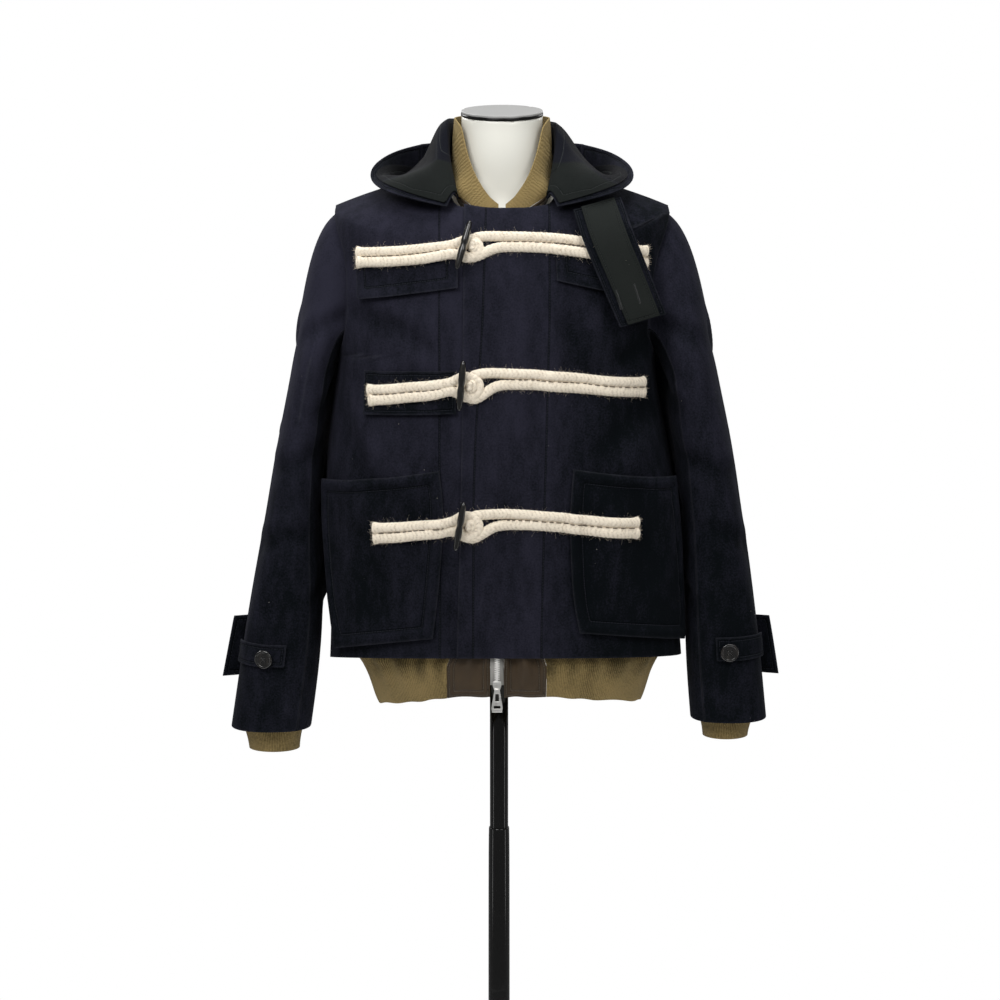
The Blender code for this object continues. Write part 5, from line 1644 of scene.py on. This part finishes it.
@dataclass
class Zip:
    """The chain's teeth on its tape, the slider and the pull tab."""

    pitch: float = 0.0030
    tooth: tuple = (0.0046, 0.0022, 0.0019)

    def build(self) -> Object:
        """Returns: the teeth's object."""
        Hard("zip_chain", Finish.TAPE, "upper").build()
        Hard("zip_slider", Finish.METAL, "upper", bevel=0.0007).build()
        Hard("zip_pull", Finish.METAL, "pull", bevel=0.0005).build()
        places = vertices_of("zip_chain")
        low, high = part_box("zip_slider")[1][2] + 0.001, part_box("zip_chain")[1][2] - 0.004
        shape = bmesh.new()
        count = int((high - low) / self.pitch)
        for i in range(count * 2):
            z = low + self.pitch * i / 2
            near = places[np.abs(places[:, 2] - z) < 0.02]
            front = near[:, 1].min() - 0.0004
            middle = (near[:, 0].min() + near[:, 0].max()) / 2
            side = 1 if i % 2 else -1
            made = bmesh.ops.create_cube(shape, size=1.0)["verts"]
            bmesh.ops.scale(shape, vec=self.tooth, verts=made)
            bmesh.ops.translate(shape, vec=(middle + side * 0.0011, front, z), verts=made)
        bmesh.ops.bevel(shape, geom=shape.edges[:], offset=0.0003, affect="EDGES", segments=1,
                        profile=0.5, material=-1)
        return shown("zip_teeth", shape, Finish.METAL, "upper")


# ---- assemblies


TORSO = TorsoField()
HOOD = HoodField()


def sleeve_folds(mirror: bool) -> tuple:
    """Folds of a sleeve by turn times radius and height; mirror varies the other one."""
    shift = 12 if mirror else 0
    return folds(
        (-50, 1225 + shift, 30, 1190, 13, 4.1, 6),
        (60, 1215, 150, 1150 + shift, 15, 4.6, -6),
        (-100, 1140, -20, 1100 - shift, 14, 4.9, 8),
        (-60, 1060 + shift, 60, 1015, 14, 4.6, -10),
        (110, 1050, 200, 985 + shift, 16, 4.9, 6),
        (-150, 1020, -70, 960, 15, 5.4, -6),
        (-30, 945 - shift, 80, 905, 13, 4.1, 8),
        (20, 850, 50, 760 + shift, 18, 3.5, -4),
        (-120, 880 + shift, -40, 840, 13, 4.3, 4),
        (-10, 1150, -2, 700, 20, 2.4, 10),
        (140, 900, 180, 780, 18, 3.8, -6),
    )


SLEEVES = {
    name: SleeveField(side, ("sleeve_upper_" + name, "sleeve_under_" + name),
                      sleeve_folds(side < 0.0), lean)
    for (name, side), lean in zip(SIDES, (
        (0.0, 0.0110, 0.0120, 0.0105, 0.0100, 0.0118, 0.0122, 0.0180, 0.0160, 0.0080, 0.0),
        (0.0, 0.0145, 0.0130, 0.0112, 0.0100, 0.0082, 0.0080, 0.0110, 0.0100, 0.0040, 0.0)))
}


@dataclass
class Coat:
    """The wool layer: body, sleeves, hood, patches, flaps and tab.

    The sleeve table gives each upper sleeve's area, tone and painted top light. patches gives each
    patch's node, flat size, area, stitch inset, puff, panel beneath, tone and flare. Tones are set
    as each piece looks lit, so they paint light and shade.
    """

    overlap: Seam = Seam((0.78, 0.83, 1.01, 1.08, 1.23, 1.40),
                         (-0.0342, -0.0340, -0.0330, -0.0305, -0.0215, -0.0160))
    facing: Seam = Seam((0.78, 0.83, 1.01, 1.08, 1.23, 1.40),
                        (0.0560, 0.0562, 0.0600, 0.0620, 0.0660, 0.0660))
    left_neck: Dent = Dent((0.036, -0.090, 1.386), (0.072, -0.084, 1.389), 0.013,
                           (0.0, 0.0, -0.0070))
    right_neck: Dent = Dent((-0.062, -0.085, 1.388), (-0.040, -0.090, 1.386), 0.013,
                            (0.0, 0.0, -0.0060))
    # Each upper sleeve's area, tone and painted top light; the two sleeves' tones differ as they
    # are lit.
    sleeve_light: tuple = (("left", 0.166, 0.14, 0.50), ("right", 0.164, 0.22, 0.72))
    # A patch's tone is set as it looks lit: painted light and shade.
    patches: tuple = (
        ("pocket_left", (0.18, 0.245), 0.041, 0.0165, 0.0032, "front_left", 0.0, 0.0030),
        ("pocket_right", (0.18, 0.245), 0.041, 0.0165, 0.0032, "front_right", 0.24, 0.0030),
        ("chest_flap_left", (0.098, 0.064), 0.0057, 0.014, 0.0012, "front_left", 0.25, 0.0056),
        ("chest_flap_right", (0.135, 0.067), 0.0083, 0.014, 0.0012, "front_right", 0.38, 0.0056),
        ("middle_patch", (0.13, 0.062), 0.0077, 0.005, 0.0006, "front_right", 0.20, 0.0020),
        ("throat_tab", (0.074, 0.185), 0.0127, 0.004, 0.0, "front_left", 0.20, 0.0),
    )

    def build(self) -> None:
        """Build every wool and twill piece."""
        body = (TORSO,)
        # Pieces of one cloth get different tones as they are lit: painted light and shade.
        Panel("back", (0.60, 0.66), 0.366, fields=body, tone=0.55, light_from_above=0.15).build()
        Panel("front_left", (0.36, 0.66), 0.214, fields=body + (self.left_neck,),
              seams=(self.overlap, self.facing), tone=0.03, placket_light=0.62, light_from_above=0.16).build()
        Panel("front_right", (0.30, 0.66), 0.172, fields=body + (self.right_neck,),
              seams=(Seam((0.78, 1.40), (-0.078, -0.078)),), tone=0.28, placket_light=0.30,
              light_from_above=0.45).build()
        for side, area, tone, light_from_above in self.sleeve_light:
            sleeve = (SLEEVES[side],)
            Panel("sleeve_upper_" + side, (0.29, 0.70), area, fields=sleeve, tone=tone,
                  light_from_above=light_from_above).build()
            Panel("sleeve_under_" + side, (0.14, 0.56), 0.066, levels=2, fields=sleeve).build()
            for node, flat, small, inset in (("cuff_patch_", (0.095, 0.032), 0.0029, 0.005),
                                             ("cuff_strap_", (0.080, 0.085), 0.0066, 0.006)):
                Panel(node + side, flat, small, fields=sleeve, stitches=(inset,),
                      rests_on=("sleeve_upper_" + side,)).build()
        for node, flat, area, inset, puff, below, tone, flare in self.patches:
            Panel(node, flat, area, fields=body, stitches=(inset,), puff=puff,
                  rests_on=(below,), tone=tone, flare=flare).build()
        Panel("throat_tab_facing", (0.052, 0.18), 0.0089, Finish.TWILL, fields=body,
              stitches=(0.004,), rests_on=("throat_tab",), tone=0.66).build()
        self.buttonholes()
        for side, flat, area, grow in (("left", (0.20, 0.33), 0.046, 0.0),
                                       ("right", (0.20, 0.33), 0.046, 0.0),
                                       ("middle", (0.24, 0.42), 0.088, 0.025)):
            Panel("hood_" + side, flat, area, levels=2, fields=(HOOD,), stitches=(0.006,),
                  crease=1.0, rests_on=("back",), tone=0.35, grow=grow).build()
        Panel("hood_lining", (0.50, 0.45), 0.154, Finish.TWILL, 3, fields=(HOOD,),
              stitches=(0.010,), rests_on=("hood_middle",), tone=0.20).build()

    def buttonholes(self) -> None:
        """Two worked buttonholes on the throat tab's facing, by X and Z of their ends."""
        ground = Ground(("throat_tab_facing", "throat_tab"))
        shape = bmesh.new()
        for (x0, z0), (x1, z1) in (((0.1520, 1.2700), (0.1598, 1.2450)),
                                   ((0.1760, 1.2765), (0.1838, 1.2515))):
            way = Vector((z1 - z0, 0.0, x0 - x1)).normalized() * 0.0011
            for side in (-1, 1):
                for i in range(18):
                    x, z = x0 + (x1 - x0) * i / 17, z0 + (z1 - z0) * i / 17
                    middle = ground.seat(x, z, 0.00012) + way * side
                    rod(shape, middle - way * 0.9, middle + way * 0.9, 0.00030, 5)
        shown("throat_tab_buttonholes", shape, Finish.THREAD, "upper")


@dataclass
class KnitLayer:
    """Ribbed collar, cuffs and hem, the nylon panels and the zip."""

    def build(self) -> None:
        """Build the knit and nylon pieces."""
        hem = (KnitField(0.790, 0.0042, 34.0, 0.034), Sag(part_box("rib_hem")[0][2]))
        beside = tuple(Dent((sign * 0.053 + 0.002, -0.052, 1.392),
                            (sign * 0.053 + 0.002, -0.040, 1.378), 0.016,
                            (sign * 0.0075, -0.004, 0.0)) for sign in (-1.0, 1.0))
        # Knit tones are set as each piece looks lit; the collar's high tone paints light on it
        # under the hood.
        Panel("rib_collar", (0.40, 0.12), 0.0256, Finish.RIB, 3, fields=beside, knit="collar",
              tone=0.85).build()
        Panel("rib_hem", (1.10, 0.13), 0.128, Finish.RIB, 3, fields=hem, knit="hem",
              tone=0.50).build()
        for side, sign in SIDES:
            Panel("rib_cuff_" + side, (0.27, 0.07), 0.017, Finish.RIB, 2, knit="cuff",
                  rests_on=("sleeve_upper_" + side,), tone=0.32).build()
            spread = Dent((sign * 0.062 + GARMENT_X * 0.5, -0.060, 1.390),
                          (sign * 0.058 + GARMENT_X * 0.5, -0.095, 1.350),
                          0.014, (sign * 0.008, -0.004, 0.002))
            Panel("nylon_neck_" + side, (0.06, 0.03), 0.0012, Finish.NYLON, 2, fields=(spread,),
                  stitches=(0.004,)).build()
            Panel("nylon_hem_" + side, (0.058, 0.105), 0.0059, Finish.NYLON, 3, fields=hem,
                  stitches=(0.003, 0.009)).build()
        Zip().build()


@dataclass
class Closures:
    """Ropes, toggles and cuff buttons.

    A row has the upper and the lower line of its left rope, the same of its right one,
    and its knot, as X and Z in tenths of a millimetre.
    """

    rows: tuple = (
        ("top",
         ((-493, 13280), (-389, 13358), (-259, 13391), (-26, 13393), (337, 13385), (687, 13365),
          (1011, 13326), (1426, 13254), (1880, 13163)),
         ((-480, 13137), (-402, 13118), (-285, 13157), (-156, 13222), (0, 13258), (337, 13258),
          (687, 13235), (1011, 13192), (1427, 13118), (1881, 13007)),
         ((-1869, 13150), (-1454, 13185), (-999, 13230), (-649, 13278), (-545, 13321),
          (-441, 13347), (-350, 13328)),
         ((-1870, 13029), (-1454, 13065), (-1000, 13113), (-649, 13174), (-545, 13146),
          (-454, 13113), (-351, 13146)),
         (-363, 13265)),
        ("middle",
         ((-482, 11524), (-391, 11596), (-260, 11629), (-26, 11631), (339, 11618), (755, 11579),
          (1276, 11510), (1850, 11438)),
         ((-469, 11353), (-391, 11287), (-287, 11327), (-156, 11419), (0, 11478), (339, 11484),
          (756, 11445), (1277, 11382), (1851, 11307)),
         ((-1733, 11373), (-1329, 11419), (-938, 11465), (-651, 11510), (-560, 11563),
          (-469, 11592), (-378, 11570)),
         ((-1721, 11241), (-1329, 11287), (-938, 11340), (-651, 11405), (-547, 11353),
          (-456, 11314), (-365, 11353)),
         (-404, 11458)),
        ("low",
         ((-524, 9689), (-419, 9749), (-262, 9778), (39, 9785), (432, 9769), (891, 9725),
          (1284, 9676), (1769, 9619)),
         ((-511, 9516), (-420, 9456), (-315, 9490), (-183, 9576), (-26, 9632), (432, 9641),
          (891, 9596), (1285, 9543), (1770, 9483)),
         ((-1665, 9576), (-1337, 9603), (-943, 9643), (-655, 9682), (-563, 9742), (-472, 9771),
          (-380, 9742)),
         ((-1652, 9443), (-1337, 9472), (-944, 9519), (-655, 9563), (-551, 9516), (-459, 9476),
          (-367, 9516)),
         (-413, 9629)),
    )

    def build(self) -> None:
        """Build every closure."""
        ground = Ground(("front_left", "front_right", "chest_flap_left", "chest_flap_right",
                         "middle_patch", "pocket_left", "pocket_right"))
        for i, (row, *lines, knot) in enumerate(self.rows):
            strands = [tuple((x / 10000, z / 10000) for x, z in line) for line in lines]
            knot = tuple(part / 10000 for part in knot)
            Fastening(row, ground, 11 + 20 * i, *strands, knot).build()
            Toggle("toggle_" + row, TORSO).build()
        for side, sleeve in SLEEVES.items():
            Button("button_" + side, sleeve).build()


@dataclass
class Display:
    """The dress form and its stand."""

    def build(self) -> None:
        """Build the form, its cap and the stand."""
        for node, finish, body, crease in (("form_torso", Finish.SHELL, "upper", 0.9),
                                           ("form_neck_band", Finish.GLOSS, "upper", 1.0),
                                           ("form_neck_cap", Finish.CAP, "upper", 0.8),
                                           ("stand_upper_tube", Finish.GLOSS, "upper", 1.0),
                                           ("stand_lower_tube", Finish.GLOSS, "stand", 0.8),
                                           ("stand_base", Finish.GLOSS, "stand", 0.8)):
            Hard(node, finish, body, levels=2, crease=crease).build()


@dataclass
class Studio:
    """Pale floor, backdrop, soft lights and the photograph's camera."""

    lens: float = 133.33
    lights: tuple = (
        ("key", (-1.2, -2.3, 3.2), 1.5, 62.0),
        ("fill", (1.6, -2.4, 2.9), 1.5, 30.0),
        ("top", (0.0, -0.2, 3.3), 1.4, 34.0),
        ("back_left", (-1.9, 2.1, 2.6), 1.3, 50.0),
        ("back_right", (1.9, 2.2, 2.2), 1.6, 24.0),
        ("strip_left", (-1.44, -0.41, 0.45), 0.14, 1.6),
        ("strip_right", (1.44, -0.41, 0.45), 0.14, 1.6),
    )
    surround: float = 0.26
    floor_radius: float = 0.84

    def build(self) -> None:
        """Build the set, the lights and the camera."""
        self.floor()
        self.sky()
        for light in self.lights:
            self.light(*light)
        self.camera()
        bpy.context.scene.view_settings.view_transform = "Standard"

    def floor(self) -> None:
        """A round sheet of paper under the stand."""
        shape = bmesh.new()
        bmesh.ops.create_circle(shape, cap_ends=True, radius=self.floor_radius, segments=96)
        bmesh.ops.translate(shape, vec=(0.0, 0.0, -0.001), verts=shape.verts)
        mesh = plain_mesh("floor", shape)
        mesh.materials.append(Paper().build())
        linked("floor", mesh)

    def sky(self) -> None:
        """An even surrounding, white to the camera and dimmer as a light."""
        world = bpy.context.scene.world = bpy.data.worlds.new("white room")
        world.use_nodes = True
        nodes, links = world.node_tree.nodes, world.node_tree.links
        background = nodes["Background"]
        background.inputs["Color"].default_value = (1.0, 1.0, 1.0, 1.0)
        path = nodes.new("ShaderNodeLightPath")
        level = nodes.new("ShaderNodeMapRange")
        level.inputs["To Min"].default_value = self.surround
        level.inputs["To Max"].default_value = 1.0
        links.new(path.outputs["Is Camera Ray"], level.inputs["Value"])
        links.new(level.outputs[0], background.inputs["Strength"])

    def light(self, name: str, place: tuple, size: float, power: float) -> None:
        """A soft light that looks at the garment; the strips stand low beside the tube."""
        data = bpy.data.lights.new(name, "AREA")
        data.size = size
        if name.startswith("strip"):
            data.shape = "RECTANGLE"
            data.size_y = 0.9
        data.energy = power
        self.aimed(name, data, Vector(place), Vector((0.0, 0.0, min(1.05, place[2]))))

    def camera(self) -> None:
        """The photograph's view: from the front, a little above."""
        data = bpy.data.cameras.new("camera")
        data.lens = self.lens
        data.sensor_width = 36.0
        away = Vector((0.0, -math.cos(VIEW_TILT), math.sin(VIEW_TILT))) * VIEW_DISTANCE
        target = Vector(VIEW_TARGET)
        bpy.context.scene.camera = self.aimed("camera", data, target + away, target)

    def aimed(self, name: str, data: Any, place: Vector, target: Vector) -> Object:
        """A light or camera at a place, turned to look at a target."""
        obj = linked(name, data)
        obj.location = place
        obj.rotation_euler = (target - place).to_track_quat("-Z", "Y").to_euler()
        return obj


def main() -> None:
    """Build the object and its studio."""
    for assembly in (Coat(), KnitLayer(), Closures(), Display(), Studio()):
        assembly.build()


if __name__ == "__main__":
    main()
